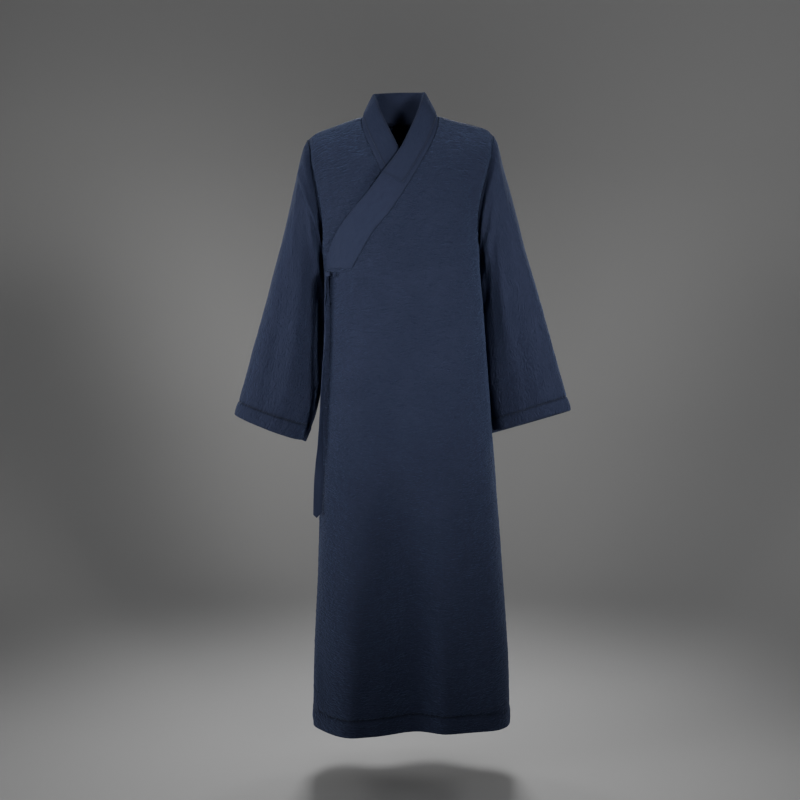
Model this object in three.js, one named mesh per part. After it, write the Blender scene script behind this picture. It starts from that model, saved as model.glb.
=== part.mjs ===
// A long robe with a crossed collar, hollow and standing in its worn pose, built as cloth walls.
// Millimetres, +Z up. The front faces -Y and +X is the wearer's left.
// The origin lies midway between the two points where the collar meets the shoulder seams.
import * as THREE from 'three';

// Cloth and seams
const clothWall = 3;
const bandProud = 1;
const guardWall = 1.2;
const guardOff = 0.6;
const tieWall = 2.4;
const seamGap = 0.4;

// Main heights
const hemZ = -1418;
const armpitZ = -290;
const bandEndZ = -345;
const underHemRaise = 12;

// Shoulders and neck
const shoulderLeft = { x: 213.6, z: -44.4 };
const shoulderRight = { x: 211, z: -54 };
const neckX = 84;
const shoulderDepthShare = 0.74;

// How many cells each piece has
const rowsBelowBand = 18;
const rowsBandToArmpit = 2;
const rowsAboveArmpit = 12;
const columnsOver = 12;
const columnsUnder = 10;
const columnsEdge = 4;
const columnsNeck = 6;
const columnsBand = 5;
const rowsSleeve = 17;

// The body's rings up to the armpit: reach to each side, depth to front and back, and how square the ring is
const bodySections = [
  { z: -1418, left: 262, right: 207, front: 112, back: 116, square: 2.6 },
  { z: -1250, left: 256, right: 203, front: 114, back: 118, square: 2.55 },
  { z: -1050, left: 241, right: 193, front: 117, back: 120, square: 2.5 },
  { z: -850, left: 225, right: 187, front: 119, back: 121, square: 2.5 },
  { z: -650, left: 208, right: 179.5, front: 120, back: 121, square: 2.45 },
  { z: -450, left: 193, right: 173.5, front: 120, back: 120, square: 2.4 },
  { z: -345, left: 183.5, right: 175, front: 119, back: 119, square: 2.4 },
  { z: -290, left: 181, right: 179, front: 118, back: 118, square: 2.4 },
];

// The armhole edge, by its share of the height from armpit to shoulder
const armholeEdges = [
  { rise: 0, left: 181, right: 179 },
  { rise: 0.2, left: 183.5, right: 183 },
  { rise: 0.4, left: 190.5, right: 190 },
  { rise: 0.6, left: 201, right: 199.5 },
  { rise: 0.8, left: 211, right: 208 },
  { rise: 1, left: 213.6, right: 211 },
];

// The height of the top line from the wearer's right to left, with the neck filled in, for the front and back panels
const topLine = [
  { x: -211, front: -54, back: -54 },
  { x: -189, front: -38, back: -38 },
  { x: -151.5, front: -24.4, back: -24.4 },
  { x: -112, front: -10.3, back: -10.3 },
  { x: -84, front: -1, back: -1 },
  { x: -40, front: 5, back: 24 },
  { x: 0, front: 6, back: 32 },
  { x: 40, front: 5, back: 24 },
  { x: 84, front: 0, back: 0 },
  { x: 123, front: -10.3, back: -10.3 },
  { x: 173, front: -22.4, back: -22.4 },
  { x: 197, front: -31, back: -31 },
  { x: 213.6, front: -44.4, back: -44.4 },
];

// The collar band, keyed by the height of its seam: the seam's place across, and its free edge.
// chest is 1 where the band lies on the chest and 0 where it stands up round the neck.
const overBand = [
  { seamZ: -345, seamX: -107, freeX: -168, freeY: -48, freeZ: -345, chest: 1 },
  { seamZ: -329, seamX: -98, freeX: -165, freeY: -50, freeZ: -323, chest: 1 },
  { seamZ: -303, seamX: -83, freeX: -153, freeY: -70, freeZ: -284, chest: 1 },
  { seamZ: -266, seamX: -61, freeX: -124, freeY: -95, freeZ: -236, chest: 1 },
  { seamZ: -215, seamX: -19, freeX: -72, freeY: -105, freeZ: -174, chest: 1 },
  { seamZ: -155, seamX: 20.5, freeX: -37, freeY: -96, freeZ: -127, chest: 1 },
  { seamZ: -98, seamX: 54, freeX: 0, freeY: -81, freeZ: -77, chest: 1 },
  { seamZ: -68, seamX: 70, freeX: 20, freeY: -65, freeZ: -37, chest: 0.5 },
  { seamZ: -42, seamX: 80.5, freeX: 36, freeY: -45, freeZ: 0, chest: 0.1 },
  { seamZ: -16, seamX: 86.5, freeX: 48, freeY: -25, freeZ: 34, chest: 0 },
  { seamZ: 0, seamX: 84, freeX: 54, freeY: 2, freeZ: 54, chest: 0 },
];
const underBand = [
  { seamZ: -345, seamX: 107, freeX: 163, freeY: -48, freeZ: -345, chest: 1 },
  { seamZ: -303, seamX: 83, freeX: 150, freeY: -70, freeZ: -284, chest: 1 },
  { seamZ: -215, seamX: 19, freeX: 72, freeY: -105, freeZ: -174, chest: 1 },
  { seamZ: -155, seamX: -20.5, freeX: 37, freeY: -96, freeZ: -127, chest: 1 },
  { seamZ: -121, seamX: -44, freeX: 8, freeY: -84, freeZ: -86, chest: 1 },
  { seamZ: -83, seamX: -63, freeX: -15, freeY: -70, freeZ: -50, chest: 0.7 },
  { seamZ: -42, seamX: -80.5, freeX: -38, freeY: -45, freeZ: -2, chest: 0.1 },
  { seamZ: -16, seamX: -87, freeX: -51, freeY: -25, freeZ: 30, chest: 0 },
  { seamZ: -1, seamX: -84, freeX: -58, freeY: 2, freeZ: 50, chest: 0 },
];
const napeBand = [
  { turn: 0, freeX: -58, freeY: 2, freeZ: 50 },
  { turn: 0.25, freeX: -43, freeY: 40, freeZ: 56 },
  { turn: 0.5, freeX: -1, freeY: 59, freeZ: 60 },
  { turn: 0.75, freeX: 41, freeY: 40, freeZ: 58 },
  { turn: 1, freeX: 54, freeY: 2, freeZ: 54 },
];
const napeDip = 0.24;
const guardFromSeam = 0.16;
const guardEndZ = -163;
const guardUnderEndZ = -158;

// The front edge of the over panel below the band, as a share of the ring's reach to the wearer's right
const overEdge = [
  { z: -1418, share: 0.985 },
  { z: -1030, share: 0.98 },
  { z: -930, share: 0.968 },
  { z: -860, share: 0.946 },
  { z: -770, share: 0.93 },
  { z: -600, share: 0.918 },
  { z: -420, share: 0.92 },
  { z: -365, share: 0.935 },
  { z: -345, share: 0.962 },
];

// How far the under panel lies below the over panel, and over what distance it comes down to that
const underInset = 6;
const crossingInset = 5.6;
const crossing = { x: -22, z: -106, radius: 62 };
const insetRun = 30;

// Soft folds of the body, as straight troughs (minus) and ridges (plus) with soft ends
const bodyFolds = [
  { face: -1, fromX: 24, fromZ: -760, toX: 42, toZ: -1720, deep: -42, wide: 62 },
  { face: -1, fromX: -96, fromZ: -820, toX: -132, toZ: -1800, deep: 24, wide: 50 },
  { face: -1, fromX: 150, fromZ: -900, toX: 190, toZ: -1800, deep: -17, wide: 66 },
  { face: -1, fromX: -60, fromZ: -420, toX: -84, toZ: -1180, deep: 5, wide: 60 },
  { face: -1, fromX: 96, fromZ: -380, toX: 120, toZ: -1250, deep: 5, wide: 60 },
  { face: -1, fromX: 158, fromZ: -84, toX: 170, toZ: -330, deep: -8, wide: 13 },
  { face: -1, fromX: -186, fromZ: -50, toX: -176, toZ: -236, deep: -5, wide: 12 },
  { face: 1, fromX: -130, fromZ: -640, toX: -150, toZ: -1800, deep: 15, wide: 48 },
  { face: 1, fromX: -40, fromZ: -760, toX: -44, toZ: -1800, deep: -20, wide: 54 },
  { face: 1, fromX: 60, fromZ: -560, toX: 78, toZ: -1800, deep: 14, wide: 56 },
  { face: 1, fromX: 165, fromZ: -820, toX: 192, toZ: -1800, deep: -14, wide: 50 },
  { face: 1, fromX: -150, fromZ: -70, toX: -166, toZ: -350, deep: -7, wide: 17 },
  { face: 1, fromX: 150, fromZ: -70, toX: 168, toZ: -350, deep: -7, wide: 17 },
];

// The sleeves, from the armhole to the cuff, by the outer and the inner edge seen from the front.
// The inner edge lies behind the body's side, and lift raises the front of the cuff.
const sleeveLeft = [
  { along: 0, outerX: 213.6, outerZ: -44.4, innerX: 181, innerZ: -290, middleY: 0, innerY: 0, depth: 57, lift: 0 },
  { along: 0.035, outerX: 221.6, outerZ: -62, innerX: 182, innerZ: -301, middleY: 0, innerY: 8, depth: 59, lift: 0 },
  { along: 0.1, outerX: 233.6, outerZ: -111, innerX: 182.8, innerZ: -322, middleY: 0, innerY: 24, depth: 61, lift: 0 },
  { along: 0.2, outerX: 250.8, outerZ: -167.5, innerX: 183, innerZ: -352, middleY: -1, innerY: 38, depth: 62, lift: 0 },
  { along: 0.32, outerX: 271, outerZ: -240, innerX: 185, innerZ: -395, middleY: -3, innerY: 45, depth: 61, lift: 0 },
  { along: 0.42, outerX: 287, outerZ: -302, innerX: 188, innerZ: -437, middleY: -5, innerY: 50, depth: 60, lift: 0 },
  { along: 0.52, outerX: 304.5, outerZ: -360, innerX: 190.5, innerZ: -478, middleY: -8, innerY: 52, depth: 58, lift: 0 },
  { along: 0.64, outerX: 326, outerZ: -434, innerX: 194, innerZ: -530, middleY: -12, innerY: 52, depth: 56, lift: 0 },
  { along: 0.78, outerX: 351, outerZ: -522, innerX: 199.5, innerZ: -600, middleY: -16, innerY: 50, depth: 52, lift: 2 },
  { along: 0.9, outerX: 377, outerZ: -613, innerX: 206, innerZ: -680, middleY: -19, innerY: 46, depth: 48, lift: 5 },
  { along: 1, outerX: 394, outerZ: -670.6, innerX: 212.5, innerZ: -733, middleY: -21, innerY: 42, depth: 46, lift: 8 },
];
const sleeveRight = [
  { along: 0, outerX: 211, outerZ: -54, innerX: 179, innerZ: -290, middleY: 0, innerY: 0, depth: 57, lift: 0 },
  { along: 0.035, outerX: 220, outerZ: -73, innerX: 179.5, innerZ: -302, middleY: 0, innerY: 8, depth: 58, lift: 0 },
  { along: 0.1, outerX: 231.5, outerZ: -118, innerX: 178.6, innerZ: -325, middleY: 0, innerY: 22, depth: 60, lift: 0 },
  { along: 0.2, outerX: 247, outerZ: -186, innerX: 174.5, innerZ: -362, middleY: -1, innerY: 34, depth: 61, lift: 0 },
  { along: 0.32, outerX: 261, outerZ: -245, innerX: 172, innerZ: -405, middleY: -3, innerY: 40, depth: 60, lift: 0 },
  { along: 0.42, outerX: 275.5, outerZ: -302, innerX: 171.5, innerZ: -446, middleY: -5, innerY: 42, depth: 59, lift: 0 },
  { along: 0.52, outerX: 291, outerZ: -360, innerX: 173, innerZ: -490, middleY: -8, innerY: 38, depth: 58, lift: 0 },
  { along: 0.64, outerX: 308.5, outerZ: -427, innerX: 177.5, innerZ: -540, middleY: -12, innerY: 28, depth: 56, lift: 0 },
  { along: 0.78, outerX: 334.5, outerZ: -515, innerX: 183.5, innerZ: -606, middleY: -16, innerY: 12, depth: 53, lift: 0 },
  { along: 0.9, outerX: 364, outerZ: -622, innerX: 199, innerZ: -682, middleY: -19, innerY: -6, depth: 50, lift: 0 },
  { along: 1, outerX: 382, outerZ: -679, innerX: 223, innerZ: -742, middleY: -21, innerY: -18, depth: 47, lift: 0 },
];
const sleeveOuterSquare = 2.2;
const sleeveInnerSquare = 1.65;

// Sleeve folds, by the share along the sleeve and the turn in degrees from the outer edge over the front
const sleeveFoldsLeft = [
  { fromAlong: 0.02, fromTurn: 62, toAlong: 0.36, toTurn: 165, deep: -9, wide: 21 },
  { fromAlong: 0.22, fromTurn: 96, toAlong: 0.82, toTurn: 112, deep: -7, wide: 16 },
  { fromAlong: 0.55, fromTurn: 168, toAlong: 0.9, toTurn: 128, deep: -6, wide: 16 },
  { fromAlong: 0.05, fromTurn: 300, toAlong: 0.42, toTurn: 192, deep: -9, wide: 18 },
  { fromAlong: 0.35, fromTurn: 262, toAlong: 0.95, toTurn: 246, deep: -6, wide: 18 },
];
const sleeveFoldsRight = [
  { fromAlong: 0, fromTurn: 64, toAlong: 0.4, toTurn: 165, deep: -10, wide: 21 },
  { fromAlong: 0.3, fromTurn: 84, toAlong: 0.98, toTurn: 108, deep: -5, wide: 18 },
  { fromAlong: 0.62, fromTurn: 172, toAlong: 0.96, toTurn: 132, deep: -5, wide: 15 },
  { fromAlong: 0.05, fromTurn: 300, toAlong: 0.42, toTurn: 192, deep: -9, wide: 18 },
  { fromAlong: 0.35, fromTurn: 258, toAlong: 0.95, toTurn: 250, deep: -6, wide: 18 },
];
const sleeveLength = 640;
const sleeveRadius = 78;
const sleeveBlendEnd = 0.3;

// The ends of the side tie, from the knot down: the middle line, and the turn of the face from the front
const tieTail = [
  { x: -163.5, y: -71, z: -362, turn: 82 },
  { x: -166, y: -70, z: -420, turn: 77 },
  { x: -168, y: -68, z: -483, turn: 75 },
  { x: -174, y: -65, z: -600, turn: 72 },
  { x: -179, y: -63, z: -700, turn: 62 },
  { x: -182.5, y: -62, z: -770, turn: 45 },
  { x: -187, y: -62, z: -830, turn: 18 },
  { x: -189.5, y: -63, z: -905, turn: 4 },
];
const tieWidth = 20;
const tiePoint = 20;
const tieRows = 16;
const shortTail = [
  { x: -158.2, y: -73.6, z: -361.9, turn: 66 },
  { x: -160, y: -76, z: -395, turn: 70 },
  { x: -161.4, y: -78.5, z: -424, turn: 40 },
];
const shortTailWidth = 11;

// The knot and the small loop beside it, by their place on the over panel and how far they stand off it
const tieKnot = { x: -156, z: -357, off: 6.6, wide: 7, deep: 5.4, high: 5 };
const tieLoop = { x: -149.2, z: -357, off: 4.6, radius: 3.3, tube: 1.5, high: 1.25, turn: -28 };

const navy = { color: 0x26334f, roughness: 0.86, metalness: 0 };
const piecesOf = new THREE.Group();

// A smooth curve through one column of a table, keyed by another column that only rises
function curveOf(rows, key, column) {
  const last = rows.length - 1;
  const slope = rows.map((row, i) => {
    const before = rows[Math.max(0, i - 1)];
    const after = rows[Math.min(last, i + 1)];
    return (after[column] - before[column]) / (after[key] - before[key]);
  });
  return (q) => {
    const at = Math.min(Math.max(q, rows[0][key]), rows[last][key]);
    let i = 0;
    while (i < last - 1 && rows[i + 1][key] < at) i += 1;
    const span = rows[i + 1][key] - rows[i][key];
    const t = (at - rows[i][key]) / span;
    const start = (1 + 2 * t) * (1 - t) ** 2 * rows[i][column] + t * (1 - t) ** 2 * span * slope[i];
    const end = t * t * (3 - 2 * t) * rows[i + 1][column] - t * t * (1 - t) * span * slope[i + 1];
    return start + end;
  };
}

function curvesOf(rows, key, columns) {
  return Object.fromEntries(columns.map((column) => [column, curveOf(rows, key, column)]));
}

function smooth(t) {
  const q = Math.min(Math.max(t, 0), 1);
  return q * q * (3 - 2 * q);
}

function signedPower(value, power) {
  return Math.sign(value) * Math.abs(value) ** power;
}

// The value in a range where a rising function crosses zero
function crossingOf(risingFunction, low, high) {
  let from = low;
  let to = high;
  for (let i = 0; i < 36; i += 1) {
    const middle = (from + to) / 2;
    if (risingFunction(middle) > 0) to = middle;
    else from = middle;
  }
  return (from + to) / 2;
}

const ring = curvesOf(bodySections, 'z', ['left', 'right', 'front', 'back', 'square']);
const armhole = curvesOf(armholeEdges, 'rise', ['left', 'right']);
const top = curvesOf(topLine, 'x', ['front', 'back']);

// A point of the body's outer surface. face is -1 in front and 1 behind, across runs from the wearer's right (0)
// to left (1), and up runs from the hem (0) to the armpit (1) and on to the shoulder seam (2).
function torsoPoint(face, across, up) {
  const below = up <= 1;
  const turn = below ? 0 : Math.PI * (up - 1);
  const rise = (1 - Math.cos(turn)) / 2;
  const ringZ = below ? hemZ + (armpitZ - hemZ) * up : armpitZ;
  const xLeft = below ? ring.left(ringZ) : armhole.left(rise);
  const xRight = below ? -ring.right(ringZ) : -armhole.right(rise);
  const square = ring.square(ringZ);
  const depth = (face < 0 ? ring.front(ringZ) : ring.back(ringZ)) * Math.sqrt(1 - rise * rise);
  const share = shoulderDepthShare * Math.sin(turn / 2) ** 0.8;
  const startAngle = Math.asin(share ** (square / 2));
  const angle = startAngle + (Math.PI - 2 * startAngle) * (1 - across);
  const reach = (xLeft - xRight) / 2 / Math.cos(startAngle) ** (2 / square);
  const x = (xLeft + xRight) / 2 + reach * signedPower(Math.cos(angle), 2 / square);
  const y = face * depth * Math.sin(angle) ** (2 / square);
  const share01 = (x - xRight) / (xLeft - xRight);
  const edgeZ = ringZ + rise * (shoulderRight.z + (shoulderLeft.z - shoulderRight.z) * share01 - armpitZ);
  const chordZ = shoulderRight.z + (shoulderLeft.z - shoulderRight.z) * share01;
  const lift = rise ** 1.2 * ((face < 0 ? top.front(x) : top.back(x)) - chordZ);
  return new THREE.Vector3(x, y, edgeZ + lift);
}

// How deep the body's folds are at a place, plus outwards
function foldsAt(face, x, z) {
  let sum = 0;
  for (const fold of bodyFolds) {
    if (fold.face !== face) continue;
    const runX = fold.toX - fold.fromX;
    const runZ = fold.toZ - fold.fromZ;
    const run = Math.hypot(runX, runZ);
    const along = ((x - fold.fromX) * runX + (z - fold.fromZ) * runZ) / (run * run);
    const off = ((x - fold.fromX) * runZ - (z - fold.fromZ) * runX) / run;
    if (along > 0 && along < 1) sum += fold.deep * Math.sin(Math.PI * along) ** 0.9 * Math.exp(-((off / fold.wide) ** 2));
  }
  return sum;
}

// A grid of points, row by row. cells says which of its cells are cloth, and closed joins its last column to the first.
function makeGrid(rows, { cells = () => true, closed = false } = {}) {
  return { rows, cells, closed, wide: rows[0].length, high: rows.length };
}

function cellAt(grid, j, i) {
  if (j < 0 || j >= grid.high - 1) return false;
  if (grid.closed) return grid.cells(j, (i + grid.wide) % grid.wide);
  return i >= 0 && i < grid.wide - 1 && grid.cells(j, i);
}

function pointAt(grid, j, i) {
  return grid.rows[j][grid.closed ? (i + grid.wide) % grid.wide : i];
}

// Which steps from a grid point stay on the cloth
function stepsFrom(grid, j, i) {
  const northWest = cellAt(grid, j, i - 1);
  const northEast = cellAt(grid, j, i);
  const southWest = cellAt(grid, j - 1, i - 1);
  const southEast = cellAt(grid, j - 1, i);
  return { west: northWest || southWest, east: northEast || southEast, north: northWest || northEast, south: southWest || southEast };
}

function normalsOf(grid) {
  return grid.rows.map((row, j) => row.map((point, i) => {
    const step = stepsFrom(grid, j, i);
    if (!(step.west || step.east)) return new THREE.Vector3();
    const across = pointAt(grid, j, step.east ? i + 1 : i).clone().sub(pointAt(grid, j, step.west ? i - 1 : i));
    const up = pointAt(grid, step.north ? j + 1 : j, i).clone().sub(pointAt(grid, step.south ? j - 1 : j, i));
    return across.cross(up).normalize();
  }));
}

function keyOf(point) {
  return `${point.x.toFixed(2)},${point.y.toFixed(2)},${point.z.toFixed(2)}`;
}

// Pieces that meet at a seam share the direction of the cloth there, so that their edges stay side by side.
// Each group counts once where it meets another.
function shareNormals(groups) {
  const sums = new Map();
  const addTo = (map, key, way) => {
    if (!map.has(key)) map.set(key, new THREE.Vector3());
    map.get(key).add(way);
  };
  for (const group of groups) {
    const own = new Map();
    for (const grid of group) {
      grid.normals = normalsOf(grid);
      grid.rows.forEach((row, j) => row.forEach((point, i) => addTo(own, keyOf(point), grid.normals[j][i])));
    }
    own.forEach((way, key) => addTo(sums, key, way.clone().normalize()));
  }
  for (const grid of groups.flat()) {
    grid.normals = grid.rows.map((row) => row.map((point) => sums.get(keyOf(point)).clone().normalize()));
  }
}

// A closed wall of cloth from a grid. Its edges keep clear of the seams, and its outer face can stand proud.
function wallOf(grid, thick, proudAt = () => 0) {
  const positions = [];
  const index = new Map();
  const vertexOf = (j, i, side) => {
    const column = grid.closed ? (i + grid.wide) % grid.wide : i;
    const key = `${j},${column},${side}`;
    if (!index.has(key)) {
      const normal = grid.normals[j][column];
      const point = grid.rows[j][column].clone();
      const step = stepsFrom(grid, j, column);
      const inward = new THREE.Vector3();
      const pull = (nj, ni) => {
        const way = pointAt(grid, nj, ni).clone().sub(grid.rows[j][column]);
        way.addScaledVector(normal, -way.dot(normal)).normalize();
        inward.add(way);
      };
      if (step.west && !step.east) pull(j, column - 1);
      if (step.east && !step.west) pull(j, column + 1);
      if (step.north && !step.south) pull(j + 1, column);
      if (step.south && !step.north) pull(j - 1, column);
      point.addScaledVector(inward, seamGap / 2);
      point.addScaledVector(normal, side === 'outer' ? proudAt(column) : -thick);
      index.set(key, positions.length / 3);
      positions.push(point.x, point.y, point.z);
    }
    return index.get(key);
  };
  const triangles = [];
  const quad = (a, b, c, d) => triangles.push(a, b, c, a, c, d);
  const spanOf = (a, b) => Math.hypot(...[0, 1, 2].map((k) => positions[3 * a + k] - positions[3 * b + k]));
  const edge = (ja, ia, jb, ib) => {
    const corners = [[ja, ia, 'outer'], [ja, ia, 'inner'], [jb, ib, 'inner'], [jb, ib, 'outer']];
    const [a, b, c, d] = corners.map((corner) => vertexOf(...corner));
    if (spanOf(a, c) < spanOf(b, d)) quad(a, b, c, d);
    else quad(b, c, d, a);
  };
  const columns = grid.closed ? grid.wide : grid.wide - 1;
  for (let j = 0; j < grid.high - 1; j += 1) {
    for (let i = 0; i < columns; i += 1) {
      if (!grid.cells(j, i)) continue;
      quad(vertexOf(j, i, 'outer'), vertexOf(j, i + 1, 'outer'), vertexOf(j + 1, i + 1, 'outer'), vertexOf(j + 1, i, 'outer'));
      quad(vertexOf(j, i, 'inner'), vertexOf(j + 1, i, 'inner'), vertexOf(j + 1, i + 1, 'inner'), vertexOf(j, i + 1, 'inner'));
      if (!cellAt(grid, j - 1, i)) edge(j, i, j, i + 1);
      if (!cellAt(grid, j + 1, i)) edge(j + 1, i + 1, j + 1, i);
      if (!cellAt(grid, j, i - 1)) edge(j + 1, i, j, i);
      if (!cellAt(grid, j, i + 1)) edge(j, i + 1, j + 1, i + 1);
    }
  }
  const geometry = new THREE.BufferGeometry();
  geometry.setAttribute('position', new THREE.Float32BufferAttribute(positions, 3));
  geometry.setIndex(triangles);
  return geometry;
}

function addPiece(name, geometry) {
  geometry.computeVertexNormals();
  const mesh = new THREE.Mesh(geometry, new THREE.MeshStandardMaterial(navy));
  mesh.name = name;
  piecesOf.add(mesh);
}

// Rows of the body, from the hem up. The row at the band's end and the row at the armpit are exact.
const upAt = (z) => (z - hemZ) / (armpitZ - hemZ);
const bandEndUp = upAt(bandEndZ);
const bodyRows = [];
for (let j = 0; j <= rowsBelowBand; j += 1) bodyRows.push((bandEndUp * j) / rowsBelowBand);
for (let j = 1; j <= rowsBandToArmpit; j += 1) bodyRows.push(bandEndUp + ((1 - bandEndUp) * j) / rowsBandToArmpit);
for (let j = 1; j <= rowsAboveArmpit; j += 1) bodyRows.push(1 + j / rowsAboveArmpit);
const bandEndRow = rowsBelowBand;
const armpitRow = rowsBelowBand + rowsBandToArmpit;
const lastRow = bodyRows.length - 1;

// Where a row of the front crosses a seam that is drawn as a place across for each height
function acrossAtSeam(up, seamX) {
  return crossingOf((across) => {
    const point = torsoPoint(-1, across, up);
    return point.x - seamX(point.z);
  }, 0, 1);
}

function acrossAtX(face, up, x) {
  return crossingOf((across) => torsoPoint(face, across, up).x - x, 0, 1);
}

// The place on the front, without folds, that is seen at x and z
function frontPlace(x, z) {
  const up = crossingOf((q) => torsoPoint(-1, acrossAtX(-1, q, x), q).z - z, 0, 2);
  return { across: acrossAtX(-1, up, x), up };
}

// A point of the cloth with its folds, and with the under layers lowered by inset
function clothPoint(face, across, up, inset = () => 0) {
  const point = torsoPoint(face, across, up);
  const stepAcross = 0.004;
  const stepUp = 0.006;
  const a = torsoPoint(face, Math.max(across - stepAcross, 0), up);
  const b = torsoPoint(face, Math.min(across + stepAcross, 1), up);
  const c = torsoPoint(face, across, Math.max(up - stepUp, 0));
  const d = torsoPoint(face, across, Math.min(up + stepUp, 2));
  const normal = b.sub(a).cross(d.sub(c)).normalize().multiplyScalar(-face);
  const sideFade = Math.sin(Math.PI * across) ** 0.5;
  const edgeFade = up > 1 ? 1 - smooth((up - 1.75) / 0.25) : 1;
  return point.addScaledVector(normal, foldsAt(face, point.x, point.z) * sideFade * edgeFade - inset(point, across, up));
}

const overSeamX = curveOf(overBand, 'seamZ', 'seamX');
const underSeamX = curveOf(underBand, 'seamZ', 'seamX');
const overFreeRows = overBand.map((row) => ({ z: row.freeZ, x: row.freeX }));
const overFreeX = curveOf(overFreeRows, 'z', 'x');
const overEdgeShare = curveOf(overEdge, 'z', 'share');

// Where the edge of the over panel or of its band lies on a row of the front
const edgePlaces = new Map();
function edgeAcrossAt(up) {
  const key = up.toFixed(5);
  if (!edgePlaces.has(key)) {
    const across = up < bandEndUp
      ? acrossAtX(-1, up, -ring.right(hemZ + (armpitZ - hemZ) * up) * overEdgeShare(hemZ + (armpitZ - hemZ) * up))
      : acrossAtSeam(up, overFreeX);
    edgePlaces.set(key, across);
  }
  return edgePlaces.get(key);
}

// The under layers lie lower where the over panel and its band cover them
function insetAt(point, across, up) {
  const edgeAcross = edgeAcrossAt(up);
  const uncovered = across < edgeAcross ? torsoPoint(-1, edgeAcross, up).distanceTo(point) : 0;
  const covered = smooth(1 - uncovered / insetRun);
  const near = Math.hypot(point.x - crossing.x, point.z - crossing.z) / crossing.radius;
  const nearCrossing = crossingInset * (1 - smooth(near - 0.5));
  const atNeck = 1 - smooth((point.z + 62) / 50);
  return covered * (underInset + nearCrossing) * atNeck;
}

// The places across of the over panel's columns on each row, first those left of the band's seam
const bandSeamAcross = acrossAtSeam(bandEndUp, overSeamX);
const overColumns = bodyRows.map((up, j) => {
  const edgeAcross = edgeAcrossAt(Math.min(up, bandEndUp - 1e-9));
  const seamAcross = j >= bandEndRow ? acrossAtSeam(up, overSeamX) : bandSeamAcross;
  const places = [];
  for (let i = 0; i < columnsEdge; i += 1) {
    places.push(edgeAcross + ((bandSeamAcross - edgeAcross) * i) / columnsEdge);
  }
  for (let i = 0; i <= columnsOver; i += 1) places.push(seamAcross + ((1 - seamAcross) * i) / columnsOver);
  return places;
});

// Front panel that crosses over, from the wearer's left side to the right one
function overPanel() {
  const rows = bodyRows.map((up, j) => overColumns[j].map((across, i) => {
    return clothPoint(-1, across, i < columnsEdge ? Math.min(up, bandEndUp) : up);
  }));
  return makeGrid(rows, { cells: (j, i) => i >= columnsEdge || j < bandEndRow });
}

// Front panel that lies beneath, from the wearer's right side to past the middle, in line with the over panel's columns
function underPanel() {
  const hemUp = upAt(hemZ + underHemRaise);
  const atBandEnd = overColumns[bandEndRow];
  const rows = bodyRows.map((up, j) => {
    const end = j > bandEndRow ? acrossAtSeam(up, underSeamX) : atBandEnd[columnsUnder];
    const even = smooth((j - bandEndRow) / 6);
    const points = [];
    for (let i = 0; i <= columnsUnder; i += 1) {
      const share = i / columnsUnder;
      const inLine = i > 0 ? atBandEnd[i] / atBandEnd[columnsUnder] : 0;
      const across = j > bandEndRow ? end * (inLine + (share - inLine) * even) : i > 0 ? overColumns[j][i] : 0;
      points.push(clothPoint(-1, across, j === 0 ? hemUp * share ** 0.25 : up, insetAt));
    }
    return points;
  });
  return makeGrid(rows);
}

// Back, from shoulder to shoulder, dipping at the neck
function backPanel() {
  const rightNeck = acrossAtX(1, 2, -neckX);
  const leftNeck = acrossAtX(1, 2, neckX);
  const columns = [];
  for (let i = 0; i < columnsUnder; i += 1) columns.push({ across: (rightNeck * i) / columnsUnder, neck: 0 });
  for (let i = 0; i < columnsNeck; i += 1) {
    const share = i / columnsNeck;
    columns.push({ across: rightNeck + (leftNeck - rightNeck) * share, neck: Math.sin(Math.PI * share) ** 0.75 });
  }
  for (let i = 0; i <= columnsOver; i += 1) {
    columns.push({ across: leftNeck + ((1 - leftNeck) * i) / columnsOver, neck: 0 });
  }
  const rows = bodyRows.map((up) => columns.map(({ across, neck }) => {
    const lowered = up > 1 ? 1 + (up - 1) * (1 - napeDip * neck) : up;
    return clothPoint(1, across, lowered);
  }));
  rows.forEach((row) => row.reverse());
  return makeGrid(rows);
}

const over = overPanel();
const under = underPanel();
const back = backPanel();

// Seam points that neighbours share are taken from the front panels
const overLast = columnsEdge + columnsOver;
const backLast = columnsOver + columnsNeck + columnsUnder;
for (let j = 0; j <= armpitRow; j += 1) {
  back.rows[j][0] = over.rows[j][overLast].clone();
  back.rows[j][backLast] = under.rows[j][0].clone();
}
for (let i = 0; i <= columnsOver; i += 1) back.rows[lastRow][i] = over.rows[lastRow][overLast - i].clone();
for (let i = 0; i <= columnsUnder; i += 1) back.rows[lastRow][backLast - i] = under.rows[lastRow][i].clone();

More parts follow.
